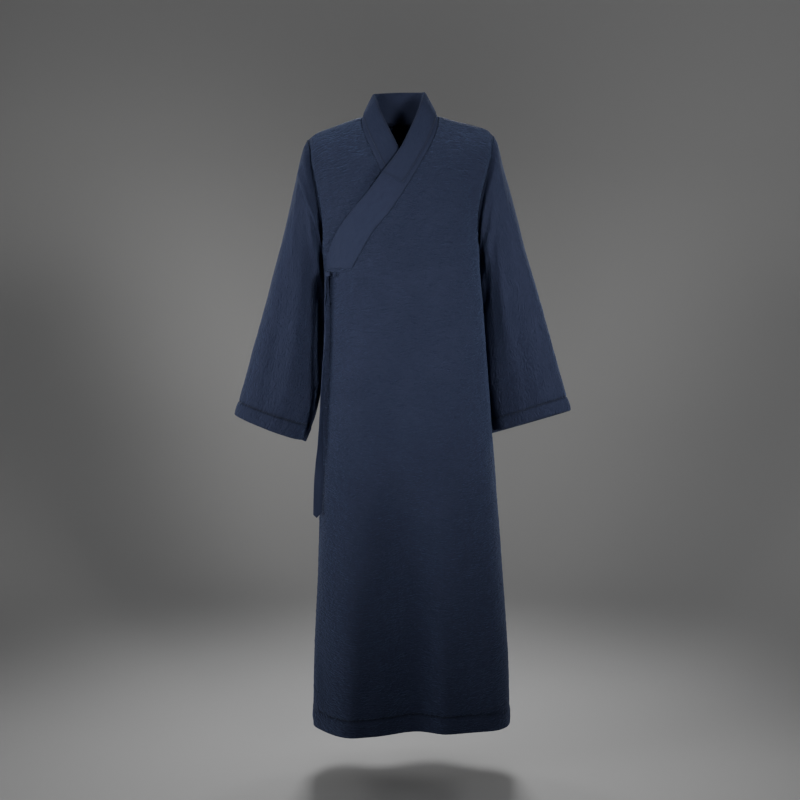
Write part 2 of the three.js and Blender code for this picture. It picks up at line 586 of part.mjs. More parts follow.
// A sleeve, from the armhole's own points to the cuff. side is 1 for the wearer's left and -1 for the right.
function sleeveGrid(side, table, folds, armholePoints) {
  const columns = ['outerX', 'outerZ', 'innerX', 'innerZ', 'middleY', 'innerY', 'depth', 'lift'];
  const form = curvesOf(table, 'along', columns);
  const around = armholePoints.length;
  const sectionPoint = (along, turn) => {
    const square = Math.cos(turn) > 0 ? sleeveOuterSquare : sleeveInnerSquare;
    const cosine = signedPower(Math.cos(turn), 2 / square);
    const sine = signedPower(Math.sin(turn), 2 / square);
    const middleX = (form.outerX(along) + form.innerX(along)) / 2;
    const middleZ = (form.outerZ(along) + form.innerZ(along)) / 2;
    const x = middleX + (form.outerX(along) - middleX) * cosine;
    const z = middleZ + (form.outerZ(along) - middleZ) * cosine + form.lift(along) * sine;
    const middleY = form.middleY(along) + ((form.innerY(along) - form.middleY(along)) * (1 - cosine)) / 2;
    return new THREE.Vector3(side * x, middleY - form.depth(along) * sine, z);
  };
  const foldsOnSleeve = (along, turn) => {
    let sum = 0;
    const degrees = (turn * 180) / Math.PI;
    for (const fold of folds) {
      const runAlong = (fold.toAlong - fold.fromAlong) * sleeveLength;
      const runTurn = ((fold.toTurn - fold.fromTurn) * Math.PI * sleeveRadius) / 180;
      const run = Math.hypot(runAlong, runTurn);
      const a = (along - fold.fromAlong) * sleeveLength;
      const b = ((degrees - fold.fromTurn) * Math.PI * sleeveRadius) / 180;
      const share = (a * runAlong + b * runTurn) / (run * run);
      const off = (a * runTurn - b * runAlong) / run;
      if (share > 0 && share < 1) sum += fold.deep * Math.sin(Math.PI * share) ** 0.8 * Math.exp(-((off / fold.wide) ** 2));
    }
    return sum * smooth(along / 0.08);
  };
  const rows = [];
  for (let j = 0; j <= rowsSleeve; j += 1) {
    const along = (j / rowsSleeve) ** 1.12;
    const row = [];
    for (let i = 0; i < around; i += 1) {
      const turn = (2 * Math.PI * i) / around;
      const point = sectionPoint(along, turn);
      const loose = 1 - smooth(along / sleeveBlendEnd);
      const start = sectionPoint(0, turn);
      point.addScaledVector(armholePoints[i].clone().sub(start), loose);
      const ahead = sectionPoint(Math.min(along + 0.01, 1), turn).sub(sectionPoint(Math.max(along - 0.01, 0), turn));
      const round = sectionPoint(along, turn + 0.02).sub(sectionPoint(along, turn - 0.02));
      const outward = round.cross(ahead).normalize().multiplyScalar(-side);
      row.push(j === 0 ? armholePoints[i].clone() : point.addScaledVector(outward, foldsOnSleeve(along, turn)));
    }
    rows.push(row);
  }
  if (side < 0) rows.forEach((row) => row.reverse());
  return makeGrid(rows, { closed: true });
}

// The armhole's points from the shoulder down the front to the armpit and up the back
function armholeOf(frontColumn, backColumn) {
  const points = [];
  for (let j = lastRow; j > armpitRow; j -= 1) points.push(frontColumn(j));
  for (let j = armpitRow; j < lastRow; j += 1) points.push(backColumn(j));
  return points;
}

const armholeLeft = armholeOf((j) => over.rows[j][overLast], (j) => back.rows[j][0]);
const armholeRight = armholeOf((j) => under.rows[j][0], (j) => back.rows[j][backLast]);
const sleeveOnLeft = sleeveGrid(1, sleeveLeft, sleeveFoldsLeft, armholeLeft);
const sleeveOnRight = sleeveGrid(-1, sleeveRight, sleeveFoldsRight, armholeRight);

// One row of the collar band, from its seam to its free edge
function bandRow(seamPoint, free, chest, inset) {
  const row = [];
  const freePoint = free.clone();
  if (chest > 0) {
    const place = frontPlace(free.x, free.z);
    freePoint.lerp(clothPoint(-1, place.across, place.up, inset), chest);
  }
  for (let i = 0; i <= columnsBand; i += 1) {
    const share = i / columnsBand;
    const point = seamPoint.clone().lerp(freePoint, share);
    if (i > 0 && chest > 0) {
      const place = frontPlace(point.x, point.z);
      point.lerp(clothPoint(-1, place.across, place.up, inset), chest);
    }
    row.push(point);
  }
  return row;
}

function bandRowsOf(table, seamPoints, inset) {
  const form = curvesOf(table, 'seamZ', ['freeX', 'freeY', 'freeZ', 'chest']);
  return seamPoints.map((seamPoint) => {
    const z = seamPoint.z;
    const free = new THREE.Vector3(form.freeX(z), form.freeY(z), form.freeZ(z));
    return bandRow(seamPoint.clone(), free, Math.min(Math.max(form.chest(z), 0), 1), inset);
  });
}

// The whole collar band: up the over panel, round the neck, and down the under panel
function collarGrid() {
  const overSeam = [];
  const underSeam = [];
  for (let j = bandEndRow; j <= lastRow; j += 1) {
    overSeam.push(over.rows[j][columnsEdge]);
    underSeam.push(under.rows[j][columnsUnder]);
  }
  const nape = curvesOf(napeBand, 'turn', ['freeX', 'freeY', 'freeZ']);
  const rows = bandRowsOf(overBand, overSeam, () => 0);
  for (let i = 1; i < columnsNeck; i += 1) {
    const turn = 1 - i / columnsNeck;
    const free = new THREE.Vector3(nape.freeX(turn), nape.freeY(turn), nape.freeZ(turn));
    rows.push(bandRow(back.rows[lastRow][columnsOver + i].clone(), free, 0));
  }
  rows.push(...bandRowsOf(underBand, underSeam, insetAt).reverse());
  rows.forEach((row) => row.reverse());
  return makeGrid(rows);
}

const collar = collarGrid();

shareNormals([[over, under, back], [sleeveOnLeft, sleeveOnRight], [collar]]);

// The back is cut as two halves that meet at the centre back seam
const backMiddle = columnsOver + columnsNeck / 2;
function backHalf(onHalf) {
  const grid = makeGrid(back.rows, { cells: (j, i) => onHalf(i) });
  grid.normals = back.normals;
  return grid;
}

// A place on the band, between its rows (j) and its columns (i), lifted off it
function onBand(j, i, lift) {
  const row = Math.min(Math.floor(j), collar.high - 2);
  const column = Math.min(Math.floor(i), columnsBand - 1);
  const mix = (list) => {
    const near = list[row][column].clone().lerp(list[row][column + 1], i - column);
    const far = list[row + 1][column].clone().lerp(list[row + 1][column + 1], i - column);
    return near.lerp(far, j - row);
  };
  const way = mix(collar.normals).normalize();
  return { point: mix(collar.rows).addScaledVector(way, lift), way };
}

// The neck guard lies on the band, from its end on the over side to beneath the crossing on the under side
function guardGrid() {
  const last = collar.high - 1;
  const seamZ = (j) => onBand(j, columnsBand, 0).point.z;
  const start = crossingOf((j) => seamZ(j) - guardEndZ, 0, last / 2);
  const end = crossingOf((j) => guardUnderEndZ - seamZ(j), last / 2, last);
  const places = [start];
  for (let j = Math.ceil(start + 0.1); j < end - 0.1; j += 1) places.push(j);
  places.push(end);
  const lift = bandProud + guardOff + guardWall;
  const rows = [];
  const normals = [];
  for (const j of places) {
    const row = [];
    for (let i = 0; i <= columnsBand; i += 1) row.push(onBand(j, Math.min(i, columnsBand * (1 - guardFromSeam)), lift));
    rows.push(row.map((at) => at.point));
    normals.push(row.map((at) => at.way));
  }
  const grid = makeGrid(rows);
  grid.normals = normals;
  return grid;
}

// A flat strip of cloth along a table of places, turned by degrees about the vertical
function stripGrid(table, width, point, rowCount) {
  const keyed = table.map((row) => ({ ...row, key: -row.z }));
  const form = curvesOf(keyed, 'key', ['x', 'y', 'turn']);
  const first = keyed[0].key;
  const last = keyed[keyed.length - 1].key;
  const rows = [];
  for (let j = 0; j <= rowCount; j += 1) {
    const key = last + ((first - last) * j) / rowCount;
    const turn = (form.turn(key) * Math.PI) / 180;
    const wide = new THREE.Vector3(Math.cos(turn), Math.sin(turn), 0);
    const row = [-0.5, 0, 0.5].map((share) => {
      const place = new THREE.Vector3(form.x(key), form.y(key), -key).addScaledVector(wide, share * width);
      if (j === 0) place.z -= point * (0.5 - Math.abs(share + 0.1));
      return place;
    });
    rows.push(row);
  }
  const grid = makeGrid(rows);
  grid.normals = normalsOf(grid);
  return grid;
}

addPiece('front_over', wallOf(over, clothWall));
addPiece('front_under', wallOf(under, clothWall));
addPiece('back_left', wallOf(backHalf((i) => i < backMiddle), clothWall));
addPiece('back_right', wallOf(backHalf((i) => i >= backMiddle), clothWall));
addPiece('sleeve_left', wallOf(sleeveOnLeft, clothWall));
addPiece('sleeve_right', wallOf(sleeveOnRight, clothWall));
addPiece('collar_band', wallOf(collar, clothWall, (column) => (column < columnsBand ? bandProud : 0)));
addPiece('collar_guard', wallOf(guardGrid(), guardWall));
addPiece('tie_long', wallOf(stripGrid(tieTail, tieWidth, tiePoint, tieRows), tieWall));
addPiece('tie_short', wallOf(stripGrid(shortTail, shortTailWidth, 0, 3), tieWall));

// The knot of the side tie and the loop beside it
function offPanel(x, z, distance) {
  const place = frontPlace(x, z);
  const a = clothPoint(-1, place.across - 0.01, place.up);
  const b = clothPoint(-1, place.across + 0.01, place.up);
  const c = clothPoint(-1, place.across, place.up - 0.01);
  const d = clothPoint(-1, place.across, place.up + 0.01);
  const way = b.sub(a).cross(d.sub(c)).normalize();
  return clothPoint(-1, place.across, place.up).addScaledVector(way, distance);
}

const knot = new THREE.SphereGeometry(1, 12, 8).scale(tieKnot.wide, tieKnot.deep, tieKnot.high);
addPiece('tie_knot', knot.translate(...offPanel(tieKnot.x, tieKnot.z, tieKnot.off).toArray()));
const loop = new THREE.TorusGeometry(tieLoop.radius, tieLoop.tube, 8, 14).scale(1, tieLoop.high, 1);
loop.rotateX(Math.PI / 2).rotateZ((tieLoop.turn * Math.PI) / 180);
addPiece('tie_loop', loop.translate(...offPanel(tieLoop.x, tieLoop.z, tieLoop.off).toArray()));

export default piecesOf;
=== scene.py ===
# A long crossed-collar robe of navy cotton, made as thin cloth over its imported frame.
# Forms are worked out in millimetres, in the frame's own axes, and become metres on the meshes.
import math
import bpy
import numpy as np
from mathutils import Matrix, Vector


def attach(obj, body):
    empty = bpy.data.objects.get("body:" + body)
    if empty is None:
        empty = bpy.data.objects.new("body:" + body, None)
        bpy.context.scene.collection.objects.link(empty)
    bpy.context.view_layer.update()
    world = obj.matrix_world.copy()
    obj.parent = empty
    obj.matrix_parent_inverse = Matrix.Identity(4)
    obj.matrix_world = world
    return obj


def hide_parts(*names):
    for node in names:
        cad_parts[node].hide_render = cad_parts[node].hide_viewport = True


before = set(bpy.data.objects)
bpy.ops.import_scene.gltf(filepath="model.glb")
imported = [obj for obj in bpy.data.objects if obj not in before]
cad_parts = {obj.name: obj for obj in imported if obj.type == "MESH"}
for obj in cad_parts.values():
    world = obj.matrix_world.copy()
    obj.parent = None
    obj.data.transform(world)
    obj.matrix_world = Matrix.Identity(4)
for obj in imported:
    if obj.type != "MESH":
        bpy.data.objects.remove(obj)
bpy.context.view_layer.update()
print("frame loaded:", len(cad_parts), "nodes")

# The camera stands where the photograph was taken from

camera = {"place": (0, -3.0, -0.3317), "pitchDown": 6.029, "lens": 58.37, "sensor": 36}


def makeCamera():
    data = bpy.data.cameras.new("camera")
    data.lens = camera["lens"]
    data.sensor_width = camera["sensor"]
    data.clip_end = 60
    thing = bpy.data.objects.new("camera", data)
    thing.location = camera["place"]
    thing.rotation_euler = (math.radians(90 - camera["pitchDown"]), 0, 0)
    bpy.context.scene.collection.objects.link(thing)
    bpy.context.scene.camera = thing


makeCamera()
print("camera set")

# Sizes that the pieces share


def table(columns, *rows):
    return {name: np.array([row[i] for row in rows], float) for i, name in enumerate(columns.split())}


cloth = {"wall": 3.0, "rim": 1.5, "hemWall": 2.2, "bandProud": 1.0}
heights = {"hem": -1418, "armpit": -290, "bandEnd": -345, "underHemRaise": 12}
shoulders = {"leftZ": -44.4, "rightZ": -54, "neckX": 84, "depthShare": 0.74}

bodySections = table(
    "z left right front back square",
    (-1418, 262, 207, 112, 116, 2.6),
    (-1250, 256, 203, 114, 118, 2.55),
    (-1050, 241, 193, 117, 120, 2.5),
    (-850, 225, 187, 119, 121, 2.5),
    (-650, 208, 179.5, 120, 121, 2.45),
    (-450, 193, 173.5, 120, 120, 2.4),
    (-345, 183.5, 175, 119, 119, 2.4),
    (-290, 181, 179, 118, 118, 2.4),
)
armholeEdges = table(
    "rise left right",
    (0, 181, 179),
    (0.2, 183.5, 183),
    (0.4, 190.5, 190),
    (0.6, 201, 199.5),
    (0.8, 211, 208),
    (1, 213.6, 211),
)
topLine = table(
    "x front back",
    (-211, -54, -54),
    (-189, -38, -38),
    (-151.5, -24.4, -24.4),
    (-112, -10.3, -10.3),
    (-84, -1, -1),
    (-40, 5, 24),
    (0, 6, 32),
    (40, 5, 24),
    (84, 0, 0),
    (123, -10.3, -10.3),
    (173, -22.4, -22.4),
    (197, -31, -31),
    (213.6, -44.4, -44.4),
)
overBand = table(
    "seamZ seamX freeX freeY freeZ chest",
    (-345, -107, -168, -48, -345, 1),
    (-329, -98, -165, -50, -323, 1),
    (-303, -83, -153, -70, -284, 1),
    (-266, -61, -124, -95, -236, 1),
    (-215, -19, -72, -105, -174, 1),
    (-155, 20.5, -37, -96, -127, 1),
    (-98, 54, 0, -81, -77, 1),
    (-68, 70, 20, -65, -37, 0.5),
    (-42, 80.5, 36, -45, 0, 0.1),
    (-16, 86.5, 48, -25, 34, 0),
    (0, 84, 54, 2, 54, 0),
)
underBand = table(
    "seamZ seamX freeX freeY freeZ chest",
    (-345, 107, 163, -48, -345, 1),
    (-303, 83, 150, -70, -284, 1),
    (-215, 19, 72, -105, -174, 1),
    (-155, -20.5, 37, -96, -127, 1),
    (-121, -44, 8, -84, -86, 1),
    (-83, -63, -15, -70, -50, 0.7),
    (-42, -80.5, -38, -45, -2, 0.1),
    (-16, -87, -51, -25, 30, 0),
    (-1, -84, -58, 2, 50, 0),
)
napeBand = table(
    "turn freeX freeY freeZ",
    (0, -58, 2, 50),
    (0.25, -43, 40, 56),
    (0.5, -1, 59, 60),
    (0.75, 41, 40, 58),
    (1, 54, 2, 54),
)
overEdge = table(
    "z share",
    (-1418, 0.985),
    (-1030, 0.98),
    (-930, 0.968),
    (-860, 0.946),
    (-770, 0.93),
    (-600, 0.918),
    (-420, 0.92),
    (-365, 0.935),
    (-345, 0.962),
)
napeDip = 0.24
under = {"inset": 6, "atCrossing": 5.6, "crossing": (-22, -106, 62), "run": 30, "endShare": 0.5}

# Soft folds of the body: face, from x z, to x z, depth and width. Troughs are minus and ridges plus
bodyFolds = [
    (-1, 24, -760, 42, -1720, -42, 62),
    (-1, -96, -820, -132, -1800, 24, 50),
    (-1, 150, -900, 190, -1800, -17, 66),
    (-1, -60, -420, -84, -1180, 5, 60),
    (-1, 96, -380, 120, -1250, 5, 60),
    (-1, 158, -84, 170, -330, -8, 13),
    (-1, -186, -50, -176, -236, -5, 12),
    (1, -130, -640, -150, -1800, 15, 48),
    (1, -40, -760, -44, -1800, -20, 54),
    (1, 60, -560, 78, -1800, 14, 56),
    (1, 165, -820, 192, -1800, -14, 50),
    (1, -150, -70, -166, -350, -7, 17),
    (1, 150, -70, 168, -350, -7, 17),
]
# Smaller creases that only the cloth shows
bodyCreases = [
    (-1, -112, -352, -116, -400, -3.2, 7),
    (-1, 205, -420, 160, -640, -3, 16),
    (-1, 196, -300, 150, -420, -2.6, 12),
    (-1, -60, -1090, -88, -1500, -4, 15),
    (-1, 96, -1060, 104, -1500, 5, 20),
    (-1, 212, -980, 236, -1500, 4, 15),
    (-1, -176, -1080, -186, -1500, -3.5, 12),
    (-1, 40, -560, 20, -980, 3, 26),
    (1, -92, -1040, -96, -1500, -4.5, 15),
    (1, 12, -1120, 16, -1500, 5, 16),
    (1, 118, -960, 132, -1500, -5, 18),
    (1, 20, -130, 34, -520, -3, 26),
    (1, -54, -150, -70, -520, -3, 24),
    (1, 176, -300, 120, -470, -4, 16),
    (1, -172, -300, -118, -480, -4, 16),
]

hem = {"high": 42, "groove": 2.1, "grooveWide": 2.4, "puff": 1.7, "pucker": 1.2}
# The stitched hem grows taller towards each side: by how much, from which x and over what run
hemClimb = {"right": (1.2, 158, 48), "left": (0.48, 150, 100), "fadeTop": 7, "fadeRun": 6}
cuff = {"high": 38, "groove": 1.5, "grooveWide": 2.4, "puff": 1.4, "pucker": 1.0}
valley = {"deep": 30, "off": 14, "wide": 13, "top": -350, "low": -1010}


def signedPower(value, power):
    return np.sign(value) * np.abs(value) ** power


def smooth(value):
    held = np.clip(value, 0, 1)
    return held * held * (3 - 2 * held)


def curve(data, key, column):
    keys, values = data[key], data[column]
    slopes = np.empty_like(values)
    slopes[1:-1] = (values[2:] - values[:-2]) / (keys[2:] - keys[:-2])
    slopes[0] = (values[1] - values[0]) / (keys[1] - keys[0])
    slopes[-1] = (values[-1] - values[-2]) / (keys[-1] - keys[-2])

    def at(place):
        held = np.clip(place, keys[0], keys[-1])
        i = np.clip(np.searchsorted(keys, held) - 1, 0, len(keys) - 2)
        span = keys[i + 1] - keys[i]
        t = (held - keys[i]) / span
        start = (1 + 2 * t) * (1 - t) ** 2 * values[i] + t * (1 - t) ** 2 * span * slopes[i]
        return start + t * t * (3 - 2 * t) * values[i + 1] - t * t * (1 - t) * span * slopes[i + 1]

    return at


def curves(data, key, columns):
    return {column: curve(data, key, column) for column in columns.split()}


def crossingOf(rising, shape, low=0.0, high=1.0, rounds=26):
    low, high = np.full(shape, low, float), np.full(shape, high, float)
    for _ in range(rounds):
        middle = (low + high) / 2
        above = rising(middle) > 0
        high = np.where(above, middle, high)
        low = np.where(above, low, middle)
    return (low + high) / 2


ring = curves(bodySections, "z", "left right front back square")
armhole = curves(armholeEdges, "rise", "left right")
top = curves(topLine, "x", "front back")
overSeamX = curve(overBand, "seamZ", "seamX")
underSeamX = curve(underBand, "seamZ", "seamX")
overFreeX = curve({"z": overBand["freeZ"], "x": overBand["freeX"]}, "z", "x")
overEdgeShare = curve(overEdge, "z", "share")


def zOf(up):
    return heights["hem"] + (heights["armpit"] - heights["hem"]) * np.asarray(up, float)


def upOf(z):
    return (z - heights["hem"]) / (heights["armpit"] - heights["hem"])


def torso(face, across, up):
    across, up = np.broadcast_arrays(np.asarray(across, float), np.asarray(up, float))
    below = up <= 1
    turn = np.where(below, 0, math.pi * (up - 1))
    rise = (1 - np.cos(turn)) / 2
    ringZ = np.where(below, zOf(up), heights["armpit"])
    xLeft = np.where(below, ring["left"](ringZ), armhole["left"](rise))
    xRight = -np.where(below, ring["right"](ringZ), armhole["right"](rise))
    square = ring["square"](ringZ)
    depth = ring["front" if face < 0 else "back"](ringZ) * np.sqrt(np.clip(1 - rise * rise, 0, 1))
    share = shoulders["depthShare"] * np.sin(turn / 2) ** 0.8
    start = np.arcsin(share ** (square / 2))
    angle = start + (math.pi - 2 * start) * (1 - across)
    reach = (xLeft - xRight) / 2 / np.cos(start) ** (2 / square)
    x = (xLeft + xRight) / 2 + reach * signedPower(np.cos(angle), 2 / square)
    y = face * depth * np.clip(np.sin(angle), 0, 1) ** (2 / square)
    chord = shoulders["rightZ"] + (shoulders["leftZ"] - shoulders["rightZ"]) * (x - xRight) / (xLeft - xRight)
    lift = rise ** 1.2 * (top["front" if face < 0 else "back"](x) - chord)
    return np.stack([x, y, ringZ + rise * (chord - heights["armpit"]) + lift], -1)


def unit(vectors):
    return vectors / np.maximum(np.linalg.norm(vectors, axis=-1, keepdims=True), 1e-12)


def torsoNormal(face, across, up, step=0.004):
    wide = torso(face, np.minimum(across + step, 1), up) - torso(face, np.maximum(across - step, 0), up)
    high = torso(face, across, np.minimum(up + step * 1.5, 2)) - torso(face, across, np.maximum(up - step * 1.5, 0))
    return unit(np.cross(wide, high)) * -face


def foldsAt(face, x, z, folds):
    total = np.zeros_like(x)
    for side, fromX, fromZ, toX, toZ, deep, wide in folds:
        if side != face:
            continue
        runX, runZ = toX - fromX, toZ - fromZ
        run = math.hypot(runX, runZ)
        along = ((x - fromX) * runX + (z - fromZ) * runZ) / run ** 2
        off = ((x - fromX) * runZ - (z - fromZ) * runX) / run
        inside = (along > 0) & (along < 1)
        soft = np.sin(math.pi * np.clip(along, 0, 1)) ** 0.9 * np.exp(-((off / wide) ** 2))
        total += np.where(inside, deep * soft, 0)
    return total


def edgeAcrossAt(up):
    up = np.asarray(up, float)
    z = zOf(np.minimum(up, 1))
    low = crossingOf(lambda a: torso(-1, a, up)[..., 0] + ring["right"](z) * overEdgeShare(z), up.shape)

    def offBand(across):
        place = torso(-1, across, up)
        return place[..., 0] - overFreeX(place[..., 2])

    return np.where(up < upOf(heights["bandEnd"]) - 1e-9, low, crossingOf(offBand, up.shape))


def insetAt(point, across, up):
    edge = edgeAcrossAt(up)
    uncovered = np.linalg.norm(torso(-1, edge, up) - point, axis=-1)
    covered = smooth(1 - np.where(across < edge, uncovered, 0) / under["run"])
    x, z, radius = under["crossing"]
    near = np.hypot(point[..., 0] - x, point[..., 2] - z) / radius
    deep = under["inset"] + under["atCrossing"] * (1 - smooth(near - 0.5))
    return covered * deep * (1 - smooth((point[..., 2] + 62) / 50))


def besideEdge(point, across, up):
    # The under panel's own lowering, and the deep hollow it makes beside the over panel's edge
    edge = edgeAcrossAt(up)
    away = np.linalg.norm(torso(-1, edge, up) - point, axis=-1) * np.where(across < edge, 1, -1)
    share = smooth((valley["top"] - point[..., 2]) / 20) * smooth((point[..., 2] - valley["low"]) / 160)
    hollow = valley["deep"] * np.exp(-(((away - valley["off"]) / valley["wide"]) ** 2)) * share
    return insetAt(point, across, up) + hollow


def hemUpFor(face, across, up):
    # Rows near the hem are stretched upwards where the stitched hem is taller
    x = torso(face, across, 0 * up)[..., 0]
    rightShare, rightFrom, rightRun = hemClimb["right"]
    leftShare, leftFrom, leftRun = hemClimb["left"]
    taller = rightShare * smooth((-x - rightFrom) / rightRun) + leftShare * smooth((x - leftFrom) / leftRun)
    high = upOf(heights["hem"] + hem["high"])
    share = up / high
    return up + high * taller * np.minimum(share, 1) * smooth((hemClimb["fadeTop"] - share) / hemClimb["fadeRun"])


def clothPoint(face, across, up, inset=None, creases=False):
    across, up = np.broadcast_arrays(np.asarray(across, float), np.asarray(up, float))
    if creases:
        up = hemUpFor(face, across, up)
    point = torso(face, across, up)
    folds = foldsAt(face, point[..., 0], point[..., 2], bodyFolds + (bodyCreases if creases else []))
    folds = folds * np.sin(math.pi * np.clip(across, 0, 1)) ** 0.5 * (1 - smooth((up - 1.75) / 0.25))
    lowered = inset(point, across, up) if inset else 0
    return point + torsoNormal(face, across, up) * (folds - lowered)[..., None]


def acrossAtSeam(up, seamX):
    up = np.asarray(up, float)

    def off(across):
        place = torso(-1, across, up)
        return place[..., 0] - seamX(place[..., 2])

    return crossingOf(off, up.shape)


def frontPlace(x, z):
    def acrossFor(up):
        return crossingOf(lambda a: torso(-1, a, up)[..., 0] - x, x.shape)

    up = crossingOf(lambda q: torso(-1, acrossFor(q), q)[..., 2] - z, x.shape, 0, 2)
    return acrossFor(up), up


# Surface effects in the cloth's own plane, u across and v up, in millimetres


def cellNoise(u, v, seed):
    u, v = np.broadcast_arrays(u, v)
    cellU, cellV = np.floor(u).astype(np.int64), np.floor(v).astype(np.int64)

    def corner(a, b):
        mixed = (a * 374761393 + b * 668265263 + seed * 974711) & 0xFFFFFFFF
        mixed = ((mixed ^ (mixed >> 13)) * 1274126177) & 0xFFFFFFFF
        angle = ((mixed >> 7) & 0xFFFF) / 65536 * 2 * math.pi
        return np.cos(angle) * (u - a) + np.sin(angle) * (v - b)

    su, sv = smooth(u - cellU), smooth(v - cellV)
    low = corner(cellU, cellV) * (1 - su) + corner(cellU + 1, cellV) * su
    high = corner(cellU, cellV + 1) * (1 - su) + corner(cellU + 1, cellV + 1) * su
    return low * (1 - sv) + high * sv


def crinkleHeight(u, v, seed, lengthwise=False):
    if lengthwise:
        u, v = v, u
    bent = v + 9 * cellNoise(u / 60, v / 42, seed + 5)
    wide = cellNoise(u / 38, bent / 12, seed)
    fine = cellNoise(u / 22, bent / 8.5, seed + 1)
    return 1.8 * (0.3 - np.abs(wide)) + 1.1 * fine


def makeGrid(points, cells=None, closed=False):
    high, wide = points.shape[:2]
    if cells is None:
        cells = np.ones((high - 1, wide if closed else wide - 1), bool)
    pad = np.zeros((high + 1, wide + 1), bool)
    pad[1:high, 1:cells.shape[1] + 1] = cells
    if closed:
        pad[1:high, 0] = cells[:, -1]
    southWest, southEast, northWest, northEast = pad[:-1, :-1], pad[:-1, 1:], pad[1:, :-1], pad[1:, 1:]
    return {
        "points": points, "cells": cells, "closed": closed,
        "west": northWest | southWest, "east": northEast | southEast,
        "north": northWest | northEast, "south": southWest | southEast,
        "used": northWest | northEast | southWest | southEast,
        "edge": ~(northWest & northEast & southWest & southEast) & (northWest | northEast | southWest | southEast),
    }


def neighbours(grid):
    high, wide = grid["points"].shape[:2]
    j, i = np.meshgrid(np.arange(high), np.arange(wide), indexing="ij")
    east = np.where(grid["east"], i + 1, i)
    west = np.where(grid["west"], i - 1, i)
    if grid["closed"]:
        east, west = east % wide, west % wide
    return j, i, east, west, np.where(grid["north"], j + 1, j), np.where(grid["south"], j - 1, j)


def gridNormals(grid):
    j, i, east, west, north, south = neighbours(grid)
    points = grid["points"]
    return unit(np.cross(points[j, east] - points[j, west], points[north, i] - points[south, i]))


def flatPlace(grid):
    # u and v of every point, laid out from the lengths of the grid's own steps
    points = grid["points"]
    stepU = np.linalg.norm(np.diff(points, axis=1), axis=-1)
    u = np.concatenate([np.zeros((points.shape[0], 1)), np.cumsum(stepU, 1)], 1)
    u -= u[:, [points.shape[1] // 2]]
    stepV = np.median(np.linalg.norm(np.diff(points, axis=0), axis=-1), axis=1)
    v = np.concatenate([[0], np.cumsum(stepV)])[:, None] + 0 * u
    return u, v


def edgeDistance(grid):
    points, far = grid["points"], 1e6
    distance = np.where(grid["edge"], 0.0, far)
    stepU = np.linalg.norm(np.diff(points, axis=1), axis=-1)
    stepV = np.linalg.norm(np.diff(points, axis=0), axis=-1)
    for _ in range(2):
        for i in range(1, points.shape[1]):
            distance[:, i] = np.minimum(distance[:, i], distance[:, i - 1] + stepU[:, i - 1])
        for i in range(points.shape[1] - 2, -1, -1):
            distance[:, i] = np.minimum(distance[:, i], distance[:, i + 1] + stepU[:, i])
        for j in range(1, points.shape[0]):
            distance[j] = np.minimum(distance[j], distance[j - 1] + stepV[j - 1])
        for j in range(points.shape[0] - 2, -1, -1):
            distance[j] = np.minimum(distance[j], distance[j + 1] + stepV[j])
    return distance


def shareNormals(groups):
    # Where pieces meet at a seam they take one direction, so their edges stay side by side
    sums = {}
    for group in groups:
        own = {}
        for grid in group:
            grid["normals"] = gridNormals(grid)
            for j, i in np.argwhere(grid["edge"]):
                key = tuple(np.round(grid["points"][j, i], 2) + 0.0)
                own[key] = own.get(key, 0) + grid["normals"][j, i]
        for key, way in own.items():
            sums[key] = sums.get(key, 0) + unit(way)
    for grid in sum(groups, []):
        for j, i in np.argwhere(grid["edge"]):
            grid["normals"][j, i] = unit(sums[tuple(np.round(grid["points"][j, i], 2) + 0.0)])


def addMesh(name, points, faces, uv=None, masks=None):
    mesh = bpy.data.meshes.new(name)
    faces = faces if isinstance(faces, list) else faces.tolist()
    mesh.from_pydata((np.asarray(points) / 1000).tolist(), [], faces)
    if uv is not None:
        layer = mesh.uv_layers.new(name="cut")
        loops = np.empty(len(mesh.loops), np.int32)
        mesh.loops.foreach_get("vertex_index", loops)
        layer.data.foreach_set("uv", (np.asarray(uv)[loops] / 1000).ravel())
    for title, values in (masks or {}).items():
        mask = mesh.attributes.new(title, "FLOAT", "POINT")
        mask.data.foreach_set("value", np.asarray(values, float))
    mesh.shade_smooth()
    mesh.update()
    thing = bpy.data.objects.new(name, mesh)
    bpy.context.scene.collection.objects.link(thing)
    return thing


def wallPoints(grid, wall, proud, rim):
    # The two faces of the cloth: both round in towards the middle at a free edge or seam
    points, normals = grid["points"], grid["normals"]
    near = np.clip(grid["distance"] / rim, 0, 1)
    drop = 1 - np.sqrt(1 - (1 - near) ** 2)
    outer = points + normals * (proud - (rim + proud) * drop)[..., None]
    inner = points - normals * (wall - (wall - rim) * drop * 0.9)[..., None]
    return outer, inner


